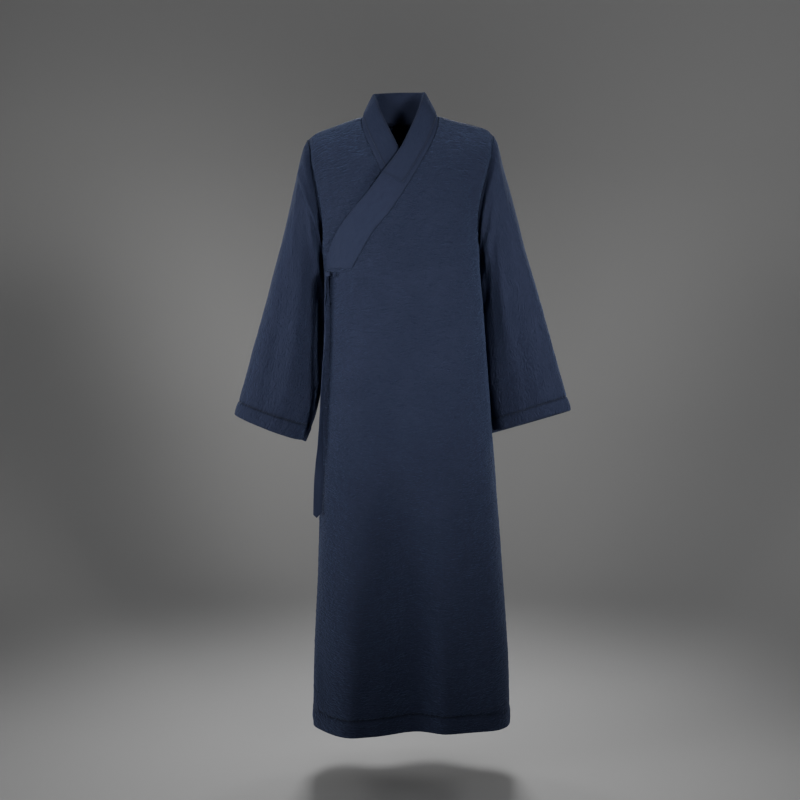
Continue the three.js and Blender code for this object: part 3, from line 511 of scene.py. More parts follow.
def buildWall(name, grid, wall, rim=cloth["rim"]):
    outer, inner = wallPoints(grid, wall, grid["proud"], rim)
    grid["outer"] = outer
    high, wide = grid["points"].shape[:2]
    number = np.full((high, wide), -1)
    used = grid["used"]
    count = int(used.sum())
    number[used] = np.arange(count)
    cellJ, cellI = np.nonzero(grid["cells"])
    nextI = (cellI + 1) % wide if grid["closed"] else cellI + 1
    a, b, c, d = number[cellJ, cellI], number[cellJ, nextI], number[cellJ + 1, nextI], number[cellJ + 1, cellI]
    faces = [np.stack([a, b, c, d], 1), np.stack([a, d, c, b], 1) + count]
    cells = grid["cells"]
    pad = np.zeros((high + 1, cells.shape[1] + 2), bool)
    pad[1:high, 1:-1] = cells
    if grid["closed"]:
        pad[1:high, 0], pad[1:high, -1] = cells[:, -1], cells[:, 0]
    for missing, first, second in [(~pad[cellJ, cellI + 1], a, b), (~pad[cellJ + 2, cellI + 1], c, d),
                                   (~pad[cellJ + 1, cellI], d, a), (~pad[cellJ + 1, cellI + 2], b, c)]:
        p, q = first[missing], second[missing]
        faces.append(np.stack([p, p + count, q + count, q], 1))
    uv = np.stack([grid["u"][used], grid["v"][used]], 1)
    masks = {title: np.tile(grid[title][used], 2) for title in ("edgeMask", "paintedShadeMask", "crinkleMask")}
    points = np.concatenate([outer[used], inner[used]])
    return addMesh(name, points, np.concatenate(faces), np.concatenate([uv, uv]), masks)


# Rows and columns of the cloth


def spaced(length, step, fineStart=True, fineEnd=True):
    # Shares from 0 to 1 along a length, with close steps at an end that is rounded over
    close = np.array([0, 0.45, 1.5, 3.2])
    start = close if fineStart else np.array([0.0])
    end = length - (close[::-1] if fineEnd else np.array([0.0]))
    count = max(int(round((end[0] - start[-1]) / step)), 2)
    middle = np.linspace(start[-1], end[0], count + 1)[1:-1]
    return np.concatenate([start, middle, end]) / length


# Steps between rows and columns, and the lengths that the columns are spaced along
grids = {"rowStep": 4.2, "columnStep": 6.4, "domeStep": 4.8, "sleeveStep": 6.2, "bandStep": 4.6,
         "dome": 330, "edge": 62, "over": 400, "under": 330, "neck": 170, "band": 66, "underPower": 1.25}
aroundStitch = np.array([-7, -4.6, -3, -1.8, -0.8, 0, 0.8, 1.8, 3, 4.6, 7])


def bodyRowsUp():
    # Heights of the body's rows: the hem's stitching, the band's end and the armpit are exact
    stitch, end = hem["high"], heights["bandEnd"] - heights["hem"]
    first, last = aroundStitch[0], aroundStitch[-1]
    low = np.concatenate([
        spaced(stitch + first, grids["rowStep"], True, False) * (stitch + first),
        (stitch + aroundStitch)[1:],
        (stitch + last) + spaced(end - stitch - last, grids["rowStep"], False, True)[1:] * (end - stitch - last),
    ])
    rest = heights["armpit"] - heights["bandEnd"]
    high = end + spaced(rest, grids["rowStep"], True, False)[1:] * rest
    dome = 1 + spaced(grids["dome"], grids["domeStep"], False, True)[1:]
    rows = np.concatenate([upOf(low + heights["hem"]), upOf(high + heights["hem"]), dome])
    return rows, int(np.argmin(abs(low - stitch))), len(low) - 1, len(low) + len(high) - 1


rowsUp, stitchRow, bandEndRow, armpitRow = bodyRowsUp()
rowsUp[bandEndRow], rowsUp[armpitRow] = upOf(heights["bandEnd"]), 1.0
lastRow = len(rowsUp) - 1
bandSeamAcross = float(acrossAtSeam(np.array([rowsUp[bandEndRow]]), overSeamX)[0])
edgeShares = spaced(grids["edge"], grids["columnStep"], True, True)
overShares = spaced(grids["over"], grids["columnStep"], True, True)
underShares = spaced(grids["under"], grids["columnStep"], True, True) ** grids["underPower"]
neckShares = spaced(grids["neck"], grids["columnStep"], False, False)
edgeColumns = len(edgeShares) - 1


def overPanel():
    up = rowsUp[:, None]
    edge = edgeAcrossAt(np.minimum(rowsUp, rowsUp[bandEndRow] - 1e-7))[:, None]
    seam = np.where(rowsUp >= rowsUp[bandEndRow], acrossAtSeam(rowsUp, overSeamX), bandSeamAcross)[:, None]
    left = edge + (bandSeamAcross - edge) * edgeShares[:-1]
    left = clothPoint(-1, left, np.minimum(up, rowsUp[bandEndRow]), creases=True)
    right = clothPoint(-1, seam + (1 - seam) * overShares, up, creases=True)
    points = np.concatenate([left, right], 1)
    cells = np.ones((len(rowsUp) - 1, points.shape[1] - 1), bool)
    cells[bandEndRow:, :edgeColumns] = False
    return makeGrid(points, cells)


def underPanel():
    hemUp = upOf(heights["hem"] + heights["underHemRaise"])
    end = np.where(rowsUp > rowsUp[bandEndRow], acrossAtSeam(rowsUp, underSeamX),
                   bandSeamAcross + (1 - bandSeamAcross) * under["endShare"])[:, None]
    lowest = hemUp * underShares[None, :] ** 0.25
    up = np.where(rowsUp[:, None] < 0.2, lowest + rowsUp[:, None] * (1 - lowest / 0.2), rowsUp[:, None] + 0 * lowest)
    return makeGrid(clothPoint(-1, end * underShares, up, besideEdge, creases=True))


def backPanel():
    ends = [float(crossingOf(lambda a: torso(1, a, np.full(1, 2.0))[..., 0] - x, (1,))[0])
            for x in (-shoulders["neckX"], shoulders["neckX"])]
    across = np.concatenate([ends[0] * underShares[:-1], ends[0] + (ends[1] - ends[0]) * neckShares[:-1],
                             ends[1] + (1 - ends[1]) * (1 - overShares[::-1])])
    neck = np.zeros_like(across)
    start = len(underShares) - 1
    neck[start:start + len(neckShares)] = np.clip(np.sin(math.pi * neckShares), 0, 1) ** 0.75
    up = np.where(rowsUp[:, None] > 1, 1 + (rowsUp[:, None] - 1) * (1 - napeDip * neck), rowsUp[:, None])
    return makeGrid(clothPoint(1, across[None, :] + 0 * up, up, creases=True)[:, ::-1])


frontOver, frontUnder, backCloth = overPanel(), underPanel(), backPanel()
overCount, neckCount = len(overShares) - 1, len(neckShares) - 1
backCloth["points"][:armpitRow + 1, 0] = frontOver["points"][:armpitRow + 1, -1]
backCloth["points"][:armpitRow + 1, -1] = frontUnder["points"][:armpitRow + 1, 0]
backCloth["points"][lastRow, :overCount + 1] = frontOver["points"][lastRow, edgeColumns:][::-1]
backCloth["points"][lastRow, overCount + neckCount:] = frontUnder["points"][lastRow][::-1]
print("panels laid out:", lastRow + 1, "rows")

# The sleeves

sleeveLeft = table(
    "along outerX outerZ innerX innerZ middleY innerY depth lift",
    (0, 213.6, -44.4, 181, -290, 0, 0, 57, 0),
    (0.035, 221.6, -62, 182, -301, 0, 8, 59, 0),
    (0.1, 233.6, -111, 182.8, -322, 0, 24, 61, 0),
    (0.2, 250.8, -167.5, 183, -352, -1, 38, 62, 0),
    (0.32, 271, -240, 185, -395, -3, 45, 61, 0),
    (0.42, 287, -302, 188, -437, -5, 50, 60, 0),
    (0.52, 304.5, -360, 190.5, -478, -8, 52, 58, 0),
    (0.64, 326, -434, 194, -530, -12, 52, 56, 0),
    (0.78, 351, -522, 199.5, -600, -16, 50, 52, 2),
    (0.9, 377, -613, 206, -680, -19, 46, 48, 5),
    (1, 394, -670.6, 212.5, -733, -21, 42, 46, 8),
)
sleeveRight = table(
    "along outerX outerZ innerX innerZ middleY innerY depth lift",
    (0, 211, -54, 179, -290, 0, 0, 57, 0),
    (0.035, 220, -73, 179.5, -302, 0, 8, 58, 0),
    (0.1, 231.5, -118, 178.6, -325, 0, 22, 60, 0),
    (0.2, 247, -186, 174.5, -362, -1, 34, 61, 0),
    (0.32, 261, -245, 172, -405, -3, 40, 60, 0),
    (0.42, 275.5, -302, 171.5, -446, -5, 42, 59, 0),
    (0.52, 291, -360, 173, -490, -8, 38, 58, 0),
    (0.64, 308.5, -427, 177.5, -540, -12, 28, 56, 0),
    (0.78, 334.5, -515, 183.5, -606, -16, 12, 53, 0),
    (0.9, 364, -622, 199, -682, -19, -6, 50, 0),
    (1, 382, -679, 223, -742, -21, -18, 47, 0),
)
sleeve = {"outerSquare": 2.2, "innerSquare": 1.65, "length": 640, "radius": 78, "blendEnd": 0.3}
# The inner edge turns under: its turn and width in degrees, its depth, and where it starts along the sleeve
turnedUnder = {"left": (158, 16, 37, 0.38), "right": (160, 14, 12, 0.3)}
# Folds: from a share along the sleeve and a turn in degrees from its outer edge over the front, to another
# such place, with depth and width
sleeveFolds = {
    "left": [
        (0.02, 62, 0.36, 165, -6, 18), (0.22, 96, 0.82, 112, -7, 16), (0.42, 146, 1.1, 140, -9, 12),
        (0.02, 140, 0.34, 138, 5, 10), (0.1, 112, 0.42, 118, -5, 9), (-0.05, 172, 0.5, 170, -8, 11),
        (0.05, 300, 0.42, 192, -9, 18), (0.35, 262, 0.95, 246, -6, 18),
        (0.06, 40, 0.4, 70, -3, 12), (0.3, 130, 0.6, 168, 3.5, 12), (0.6, 84, 1.1, 92, 3, 14),
        (0.68, 140, 1.1, 152, -3, 9), (0.5, 52, 1.0, 60, -2.5, 15), (0.1, 250, 0.5, 232, 3, 14),
    ],
    "right": [
        (0, 64, 0.4, 165, -6, 18), (0.3, 84, 0.98, 108, -5, 18), (0.62, 172, 0.96, 132, -5, 15),
        (0.095, 22, 0.03, 184, -10, 12), (0.2, 120, 0.6, 132, -4, 10), (-0.05, 170, 0.72, 166, -17, 17),
        (0.05, 300, 0.42, 192, -9, 18), (0.35, 258, 0.95, 250, -6, 18),
        (0.05, 36, 0.42, 66, -3, 12), (0.36, 126, 0.66, 166, 3.5, 12), (0.55, 66, 1.1, 76, 3, 15),
        (0.7, 142, 1.1, 156, -3.5, 9), (0.45, 40, 0.95, 50, -2.5, 15), (0.1, 250, 0.5, 232, 3, 14),
    ],
}


def sleeveRows():
    stitch = 1 - cuff["high"] / sleeve["length"]
    around = aroundStitch / sleeve["length"]
    first = stitch + around[0]
    start = spaced(first * sleeve["length"], grids["sleeveStep"], True, False) * first
    last = stitch + around[-1]
    end = last + spaced((1 - last) * sleeve["length"], grids["sleeveStep"], False, True) * (1 - last)
    return np.concatenate([start, stitch + around[1:-1], end]), stitch


def sleeveGrid(side, form, folds, hole, turns):
    at = curves(form, "along", "outerX outerZ innerX innerZ middleY innerY depth lift")

    def section(along, turn):
        square = np.where(np.cos(turn) > 0, sleeve["outerSquare"], sleeve["innerSquare"])
        cosine, sine = signedPower(np.cos(turn), 2 / square), signedPower(np.sin(turn), 2 / square)
        middleX = (at["outerX"](along) + at["innerX"](along)) / 2
        middleZ = (at["outerZ"](along) + at["innerZ"](along)) / 2
        x = middleX + (at["outerX"](along) - middleX) * cosine
        z = middleZ + (at["outerZ"](along) - middleZ) * cosine + at["lift"](along) * sine
        y = at["middleY"](along) + (at["innerY"](along) - at["middleY"](along)) * (1 - cosine) / 2
        return np.stack([side * x, y - at["depth"](along) * sine, z], -1)

    rows, stitch = sleeveRows()
    along, turn = np.meshgrid(rows, turns, indexing="ij")
    points = section(along, turn)
    points = points + (hole - section(0 * turns, turns))[None] * (1 - smooth(along / sleeve["blendEnd"]))[..., None]
    ahead = section(np.minimum(along + 0.01, 1), turn) - section(np.maximum(along - 0.01, 0), turn)
    outward = unit(np.cross(section(along, turn + 0.02) - section(along, turn - 0.02), ahead)) * -side
    lift = np.zeros_like(along)
    for fromAlong, fromTurn, toAlong, toTurn, deep, wide in folds:
        runAlong = (toAlong - fromAlong) * sleeve["length"]
        runTurn = math.radians(toTurn - fromTurn) * sleeve["radius"]
        run = math.hypot(runAlong, runTurn)
        a = (along - fromAlong) * sleeve["length"]
        b = (turn - math.radians(fromTurn)) * sleeve["radius"]
        share, off = (a * runAlong + b * runTurn) / run ** 2, (a * runTurn - b * runAlong) / run
        soft = np.sin(math.pi * np.clip(share, 0, 1)) ** 0.8 * np.exp(-((off / wide) ** 2))
        lift += np.where((share > 0) & (share < 1), deep * soft, 0)
    points = points + outward * (lift * smooth(along / 0.08))[..., None]
    middle, wide, deep, start = turnedUnder["left" if side > 0 else "right"]
    under = deep * np.exp(-(((np.degrees(turn) - middle) / wide) ** 2)) * smooth((along - start) / 0.3)
    points[..., 1] += under * (np.degrees(turn) < 180)
    points[0] = hole
    if side < 0:
        points = points[:, ::-1]
    grid = makeGrid(points, closed=True)
    grid["stitch"], grid["along"] = stitch, along
    grid["turns"] = turns if side > 0 else turns[::-1]
    return grid


def armholeLoop(frontColumn, backColumn):
    down = np.arange(lastRow, armpitRow, -1)
    rising = np.arange(armpitRow, lastRow)
    turns = np.concatenate([math.pi * (2 - rowsUp[down]), math.pi * rowsUp[rising]])
    return np.concatenate([frontColumn[down], backColumn[rising]]), turns


holeLeft, turnsLeft = armholeLoop(frontOver["points"][:, -1], backCloth["points"][:, 0])
holeRight, turnsRight = armholeLoop(frontUnder["points"][:, 0], backCloth["points"][:, -1])
armLeft = sleeveGrid(1, sleeveLeft, sleeveFolds["left"], holeLeft, turnsLeft)
armRight = sleeveGrid(-1, sleeveRight, sleeveFolds["right"], holeRight, turnsRight)
print("sleeves laid out:", len(turnsLeft), "columns round")

# The collar

bandShares = spaced(grids["band"], grids["bandStep"], True, True)
guard = {"wall": 1.2, "off": 0.35, "fromSeam": 0.16, "endZ": -163, "underEndZ": -158,
         "length": 620, "rowStep": 5.5, "width": 56, "columnStep": 4.6, "stitchIn": 3.2}


def bandRows(seam, free, chest, inset):
    share = bandShares[None, :, None]
    freePoint = free.copy()
    on = chest > 0
    if on.any():
        across, up = frontPlace(free[on, 0], free[on, 2])
        freePoint[on] += (clothPoint(-1, across, up, inset, creases=True) - free[on]) * chest[on, None]
        rows = seam[:, None] + (freePoint - seam)[:, None] * share
        flat = rows[on][:, 1:]
        across, up = frontPlace(flat[..., 0], flat[..., 2])
        flat = flat + (clothPoint(-1, across, up, inset, creases=True) - flat) * chest[on, None, None]
        rows[on, 1:] = flat
        return rows
    return seam[:, None] + (freePoint - seam)[:, None] * share


def bandPart(data, seam, inset=None):
    at = curves(data, "seamZ", "freeX freeY freeZ chest")
    z = seam[:, 2]
    free = np.stack([at["freeX"](z), at["freeY"](z), at["freeZ"](z)], -1)
    return bandRows(seam, free, np.clip(at["chest"](z), 0, 1), inset)


def collarGrid():
    overSeam = frontOver["points"][bandEndRow:, edgeColumns]
    underSeam = frontUnder["points"][bandEndRow:, -1]
    nape = curves(napeBand, "turn", "freeX freeY freeZ")
    turn = 1 - neckShares[1:-1]
    free = np.stack([nape["freeX"](turn), nape["freeY"](turn), nape["freeZ"](turn)], -1)
    napeSeam = backCloth["points"][lastRow, overCount + 1:overCount + neckCount]
    rows = np.concatenate([
        bandPart(overBand, overSeam),
        bandRows(napeSeam, free, np.zeros(len(free)), None),
        bandPart(underBand, underSeam, insetAt)[::-1],
    ])
    return makeGrid(rows[:, ::-1])


collarBand = collarGrid()
print("collar laid out:", collarBand["points"].shape[0], "rows")

sewnGroups = [[frontOver, frontUnder, backCloth], [armLeft, armRight], [collarBand]]
shareNormals(sewnGroups)

# The cloth dips into the armhole seams: depths by height, from the armpit up to the shoulder
seamDip = {
    "wide": 10,
    "left": table("z deep", (-290, 6), (-250, 14), (-200, 16), (-130, 15), (-80, 10), (-44, 2)),
    "right": table("z deep", (-290, 8), (-250, 10), (-200, 10), (-130, 15), (-80, 13), (-54, 2)),
}


def dipAt(side, z, away):
    deep = curve(seamDip[side], "z", "deep")(z)
    return deep * np.exp(-((away / seamDip["wide"]) ** 2))


def sinkArmholes():
    for grid, side, column in [(frontOver, "left", -1), (frontUnder, "right", 0),
                               (backCloth, "left", 0), (backCloth, "right", -1)]:
        points = grid["points"]
        way = 1 if column == 0 else -1
        steps = np.linalg.norm(np.diff(points[:, ::way], axis=1), axis=-1)
        away = np.concatenate([np.zeros((len(points), 1)), np.cumsum(steps, 1)], 1)[:, ::way]
        rows = np.arange(len(points))[:, None]
        held = (rows > armpitRow) * smooth((lastRow - rows) / 4) * smooth((rows - armpitRow) / 5)
        grid["sink"] = grid.get("sink", 0) + dipAt(side, points[:, [column], 2], away) * held
    for grid, side in [(armLeft, "left"), (armRight, "right")]:
        points, turns = grid["points"], grid["turns"]
        folded = np.where(turns > math.pi, 2 * math.pi - turns, turns)
        rows = np.interp(folded, math.pi * (2 - rowsUp[armpitRow:][::-1]), np.arange(lastRow, armpitRow - 1, -1))
        held = smooth((lastRow - rows) / 4) * smooth((rows - armpitRow) / 5)
        grid["sink"] = dipAt(side, points[[0], :, 2], grid["along"] * sleeve["length"]) * held
    for grid in (frontOver, frontUnder, backCloth, armLeft, armRight):
        grid["points"] -= grid["normals"] * grid["sink"][..., None]


sinkArmholes()
shareNormals(sewnGroups)
seamColumn = overCount + neckCount // 2


def backHalf(onHalf):
    columns = np.arange(backCloth["points"].shape[1] - 1)
    cells = np.ones((len(rowsUp) - 1, len(columns)), bool) & onHalf(columns)
    half = makeGrid(backCloth["points"], cells)
    half["normals"] = backCloth["normals"]
    return half


backLeft, backRight = backHalf(lambda i: i < seamColumn), backHalf(lambda i: i >= seamColumn)

# Relief of each piece: crinkles, hem and cuff, puckers beside seams

# Calm is the crinkles' strength at the top of a piece, rough at its bottom
relief = {
    "frontOver": {"grid": frontOver, "seed": 11, "calm": 0.95, "rough": 1.15},
    "frontUnder": {"grid": frontUnder, "seed": 23, "calm": 0.95, "rough": 1.15},
    "backLeft": {"grid": backLeft, "seed": 37, "calm": 0.95, "rough": 1.15},
    "backRight": {"grid": backRight, "seed": 41, "calm": 0.95, "rough": 1.15},
    "sleeveLeft": {"grid": armLeft, "seed": 51, "calm": 0.75, "rough": 1.6},
    "sleeveRight": {"grid": armRight, "seed": 67, "calm": 0.75, "rough": 1.6},
    "collarBand": {"grid": collarBand, "seed": 83, "calm": 0.3, "rough": 0.3},
}
surface = {"crinkle": 0.62, "drift": 1.1, "seamPucker": 0.8, "seamFade": 5, "lowFrom": -500, "lowRun": 700,
           "edgeWide": 2.2, "paintedShadeReach": 1.6}


def addRelief(name, settings):
    grid, seed = settings["grid"], settings["seed"]
    u, v = flatPlace(grid)
    grid["u"], grid["v"], grid["distance"] = u, v, edgeDistance(grid)
    seamFade = smooth(grid["distance"] / surface["seamFade"])
    isSleeve, isBand = name.startswith("sleeve"), name == "collarBand"
    if isSleeve:
        low = smooth((grid["along"] - 0.25) / 0.6)
        fromStitch = (grid["along"] - grid["stitch"]) * sleeve["length"]
        edgeBand, fold = (fromStitch > 0), cuff
    else:
        low = smooth((surface["lowFrom"] - grid["points"][..., 2]) / surface["lowRun"])
        fromStitch = -(grid["points"][..., 2] - heights["hem"] - hem["high"])
        edgeBand, fold = (fromStitch > 0) & (not isBand), hem
    strength = settings["calm"] + (settings["rough"] - settings["calm"]) * low
    height = strength * surface["crinkle"] * crinkleHeight(u, v, seed, lengthwise=isSleeve or isBand)
    height += surface["drift"] * cellNoise(u / 95, v / 120, seed + 9) * (0.2 if isBand else 1)
    puckers = surface["seamPucker"] * np.exp(-grid["distance"] / 9) * cellNoise(u / 8, v / 8, seed + 3)
    height += puckers * (0.5 if isBand else 1)
    height *= seamFade
    grid["wall"] = cloth["wall"] + 0 * u
    line = np.zeros_like(u)
    if not isBand:
        line = np.exp(-((fromStitch / fold["grooveWide"]) ** 2))
        share = np.clip(fromStitch / fold["high"], 0, 1)
        height -= fold["groove"] * line
        height += edgeBand * fold["puff"] * np.sin(math.pi * np.clip(share * 0.94 + 0.03, 0, 1)) ** 0.7
        height += fold["pucker"] * np.exp(-np.abs(fromStitch) / 9) * cellNoise(u / 9, v / 40, seed + 4)
        grid["wall"] = grid["wall"] + cloth["hemWall"] * smooth(fromStitch / 8)
    grid["proud"] = height
    if isBand:
        across = bandShares[::-1][None, :] + 0 * u
        grid["proud"] = height + cloth["bandProud"] * smooth((1 - np.abs(2 * across - 1)) / 0.12)
    grid["edgeMask"] = np.exp(-grid["distance"] / surface["edgeWide"])
    # Painted shade mask: strongest in the hem and cuff stitch groove and just beside seams and edges, where the
    # cloth's colour is darkened for shade
    grid["paintedShadeMask"] = np.clip(line ** 0.6 + 0.55 * np.exp(-grid["distance"] / surface["paintedShadeReach"]), 0, 1)
    grid["crinkleMask"] = strength + 0 * u


for name, settings in relief.items():
    addRelief(name, settings)
print("relief worked out")


def onSheet(grid, j, i, lift=0.0):
    # A point of the cloth's outer face between its rows j and columns i, with its direction
    high, wide = grid["outer"].shape[:2]
    j, i = np.asarray(j, float), np.asarray(i, float)
    row = np.clip(np.floor(j).astype(int), 0, high - 2)
    column = np.floor(i).astype(int)
    column = column % wide if grid["closed"] else np.clip(column, 0, wide - 2)
    after = (column + 1) % wide if grid["closed"] else column + 1
    s, t = (j - row)[..., None], (i - np.floor(i) if grid["closed"] else i - column)[..., None]

    def mix(data):
        near = data[row, column] * (1 - t) + data[row, after] * t
        return near * (1 - s) + (data[row + 1, column] * (1 - t) + data[row + 1, after] * t) * s

    way = unit(mix(grid["normals"]))
    return mix(grid["outer"]) + way * np.asarray(lift)[..., None], way


# The cloth's finish


def group(name, inputs, outputs):
    made = bpy.data.node_groups.new(name, "ShaderNodeTree")
    for title, kind, value in inputs:
        socket = made.interface.new_socket(title, in_out="INPUT", socket_type=kind)
        if value is not None:
            socket.default_value = value
    for title, kind in outputs:
        made.interface.new_socket(title, in_out="OUTPUT", socket_type=kind)
    return made, made.nodes.new("NodeGroupInput"), made.nodes.new("NodeGroupOutput")


def node(tree, kind, values=None, links=None, **settings):
    made = tree.nodes.new(kind)
    for key, value in settings.items():
        setattr(made, key, value)
    for key, value in (values or {}).items():
        made.inputs[key].default_value = value
    for key, source in (links or {}).items():
        tree.links.new(source, made.inputs[key])
    return made


def maths(tree, operation, first, second=None):
    made = tree.nodes.new("ShaderNodeMath")
    made.operation = operation
    for i, value in enumerate(v for v in (first, second) if v is not None):
        if isinstance(value, (int, float)):
            made.inputs[i].default_value = value
        else:
            tree.links.new(value, made.inputs[i])
    return made.outputs[0]


def stretched(tree, vector, scaleU, scaleV):
    scale = node(tree, "ShaderNodeCombineXYZ", {"Z": 1}, {"X": scaleU, "Y": scaleV})
    return node(tree, "ShaderNodeVectorMath", None, {0: vector, 1: scale.outputs[0]}, operation="MULTIPLY").outputs[0]


def crinkleGroup():
    tree, into, out = group(
        "crinkle",
        [("Place", "NodeSocketVector", None), ("Scale U", "NodeSocketFloat", 26), ("Scale V", "NodeSocketFloat", 110),
         ("Bend", "NodeSocketFloat", 0.01)],
        [("Height", "NodeSocketFloat"), ("Mask", "NodeSocketFloat")],
    )
    bend = node(tree, "ShaderNodeTexNoise", {"Scale": 24, "Detail": 1}, {"Vector": into.outputs["Place"]})
    shift = node(tree, "ShaderNodeVectorMath", {1: (0.5, 0.5, 0.5)}, {0: bend.outputs["Color"]}, operation="SUBTRACT")
    shift = node(tree, "ShaderNodeVectorMath", None, {0: shift.outputs[0], "Scale": into.outputs["Bend"]},
                 operation="SCALE")
    place = node(tree, "ShaderNodeVectorMath", None, {0: into.outputs["Place"], 1: shift.outputs[0]}, operation="ADD")
    place = stretched(tree, place.outputs[0], into.outputs["Scale U"], into.outputs["Scale V"])
    wide = node(tree, "ShaderNodeTexNoise", {"Scale": 1, "Detail": 2, "Roughness": 0.55}, {"Vector": place})
    fine = node(tree, "ShaderNodeTexNoise", {"Scale": 2.3, "Detail": 2, "Roughness": 0.6}, {"Vector": place})
    ridge = maths(tree, "ABSOLUTE", maths(tree, "SUBTRACT", wide.outputs["Fac"], 0.5))
    ridge = maths(tree, "SUBTRACT", 0.3, ridge)
    height = maths(tree, "ADD", maths(tree, "MULTIPLY", ridge, 2.4), maths(tree, "MULTIPLY", fine.outputs["Fac"], 0.7))
    tree.links.new(height, out.inputs["Height"])
    tree.links.new(wide.outputs["Fac"], out.inputs["Mask"])
    return tree


def weaveGroup():
    tree, into, out = group(
        "weave",
        [("Place", "NodeSocketVector", None), ("Threads", "NodeSocketFloat", 1250), ("Slub", "NodeSocketFloat", 0.35)],
        [("Height", "NodeSocketFloat"), ("Mask", "NodeSocketFloat")],
    )
    split = node(tree, "ShaderNodeSeparateXYZ", None, {0: into.outputs["Place"]})
    waves = []
    for axis in ("X", "Y"):
        scaled = maths(tree, "MULTIPLY", split.outputs[axis], into.outputs["Threads"])
        waves.append(maths(tree, "SINE", maths(tree, "MULTIPLY", scaled, math.pi)))
    crossed = maths(tree, "MULTIPLY", waves[0], waves[1])
    runs = maths(tree, "MULTIPLY", into.outputs["Threads"], 0.05)
    drawn = stretched(tree, into.outputs["Place"], runs, into.outputs["Threads"])
    slub = node(tree, "ShaderNodeTexNoise", {"Scale": 1, "Detail": 2}, {"Vector": drawn})
    uneven = maths(tree, "MULTIPLY", slub.outputs["Fac"], into.outputs["Slub"])
    tree.links.new(maths(tree, "ADD", maths(tree, "MULTIPLY", crossed, 0.5), uneven), out.inputs["Height"])
    tree.links.new(slub.outputs["Fac"], out.inputs["Mask"])
    return tree


def toneGroup():
    tree, into, out = group(
        "clothTone",
        [("Color", "NodeSocketColor", None), ("Light", "NodeSocketColor", None), ("Mask", "NodeSocketFloat", 0.5),
         ("Place", "NodeSocketVector", None), ("Patch Scale", "NodeSocketFloat", 9),
         ("Amount", "NodeSocketFloat", 0.5)],
        [("Color", "NodeSocketColor")],
    )
    patch = node(tree, "ShaderNodeTexNoise", {"Detail": 3, "Roughness": 0.6},
                 {"Vector": into.outputs["Place"], "Scale": into.outputs["Patch Scale"]})
    both = maths(tree, "MULTIPLY", patch.outputs["Fac"], into.outputs["Mask"])
    share = maths(tree, "MULTIPLY", both, into.outputs["Amount"])
    mixed = node(tree, "ShaderNodeMix", None, {"Factor": share}, data_type="RGBA")
    tree.links.new(into.outputs["Color"], mixed.inputs[6])
    tree.links.new(into.outputs["Light"], mixed.inputs[7])
    tree.links.new(mixed.outputs[2], out.inputs["Color"])
    return tree


def wearAndPaintedShadeGroup():
    tree, into, out = group(
        "edgeWearAndPaintedShade",
        [("Color", "NodeSocketColor", None), ("Worn", "NodeSocketColor", None), ("Edge", "NodeSocketFloat", 0),
         ("Seam", "NodeSocketFloat", 0), ("Shade", "NodeSocketFloat", 0.5), ("Place", "NodeSocketVector", None),
         ("Amount", "NodeSocketFloat", 0.4), ("Roughness", "NodeSocketFloat", 0.85)],
        [("Color", "NodeSocketColor"), ("Roughness", "NodeSocketFloat")],
    )
    speck = node(tree, "ShaderNodeTexNoise", {"Scale": 420, "Detail": 3, "Roughness": 0.7},
                 {"Vector": into.outputs["Place"]})
    broken = node(tree, "ShaderNodeMapRange", {"From Min": 0.4, "From Max": 0.62}, {"Value": speck.outputs["Fac"]})
    share = maths(tree, "MULTIPLY", broken.outputs[0], into.outputs["Edge"])
    share = maths(tree, "MULTIPLY", share, into.outputs["Amount"])
    mixed = node(tree, "ShaderNodeMix", None, {"Factor": share}, data_type="RGBA")
    tree.links.new(into.outputs["Color"], mixed.inputs[6])
    tree.links.new(into.outputs["Worn"], mixed.inputs[7])
    # Painted shade: the colour is darkened by the seam mask, standing in for shade in stitch grooves and beside seams
    # and edges; the lighter worn edges above are real wear
    paintedShadeFactor = maths(tree, "SUBTRACT", 1, maths(tree, "MULTIPLY", into.outputs["Seam"], into.outputs["Shade"]))
    shadedColor = node(tree, "ShaderNodeVectorMath", None, {0: mixed.outputs[2], "Scale": paintedShadeFactor}, operation="SCALE")
    tree.links.new(shadedColor.outputs[0], out.inputs["Color"])
    rough = maths(tree, "ADD", into.outputs["Roughness"], maths(tree, "MULTIPLY", share, 0.1))
    tree.links.new(rough, out.inputs["Roughness"])
    return tree


groups = {"crinkle": crinkleGroup(), "weave": weaveGroup(), "tone": toneGroup(), "wear": wearAndPaintedShadeGroup()}

finish = {
    "color": (0.0190, 0.0243, 0.0560, 1),
    "light": (0.036, 0.045, 0.092, 1),
    "worn": (0.045, 0.057, 0.105, 1),
    "roughness": 0.82,
    "gloss": 0.22,
    "sheen": 0.2,
    "sheenRoughness": 0.45,
    "sheenTint": (0.35, 0.48, 0.9, 1),
    "bend": 0.012,
    "threads": 1150,
    "slub": 0.4,
    "weaveHeight": 0.03,
    "patchScale": 9,
    "wear": 0.12,
    # How much painted shade darkens the colour along stitch grooves and beside seams
    "paintedShadeAmount": 0.55,
    "bump": 0.0055,
}
materialKinds = {
    "bodyCloth": {"scaleU": 48, "scaleV": 158, "crinkle": 1.0, "tone": 1.0},
    "sleeveCloth": {"scaleU": 146, "scaleV": 44, "crinkle": 0.55, "tone": 1.0},
    "collarCloth": {"scaleU": 110, "scaleV": 44, "crinkle": 0.6, "tone": 1.0},
    "tieCloth": {"scaleU": 90, "scaleV": 50, "crinkle": 0.35, "tone": 1.25},
}


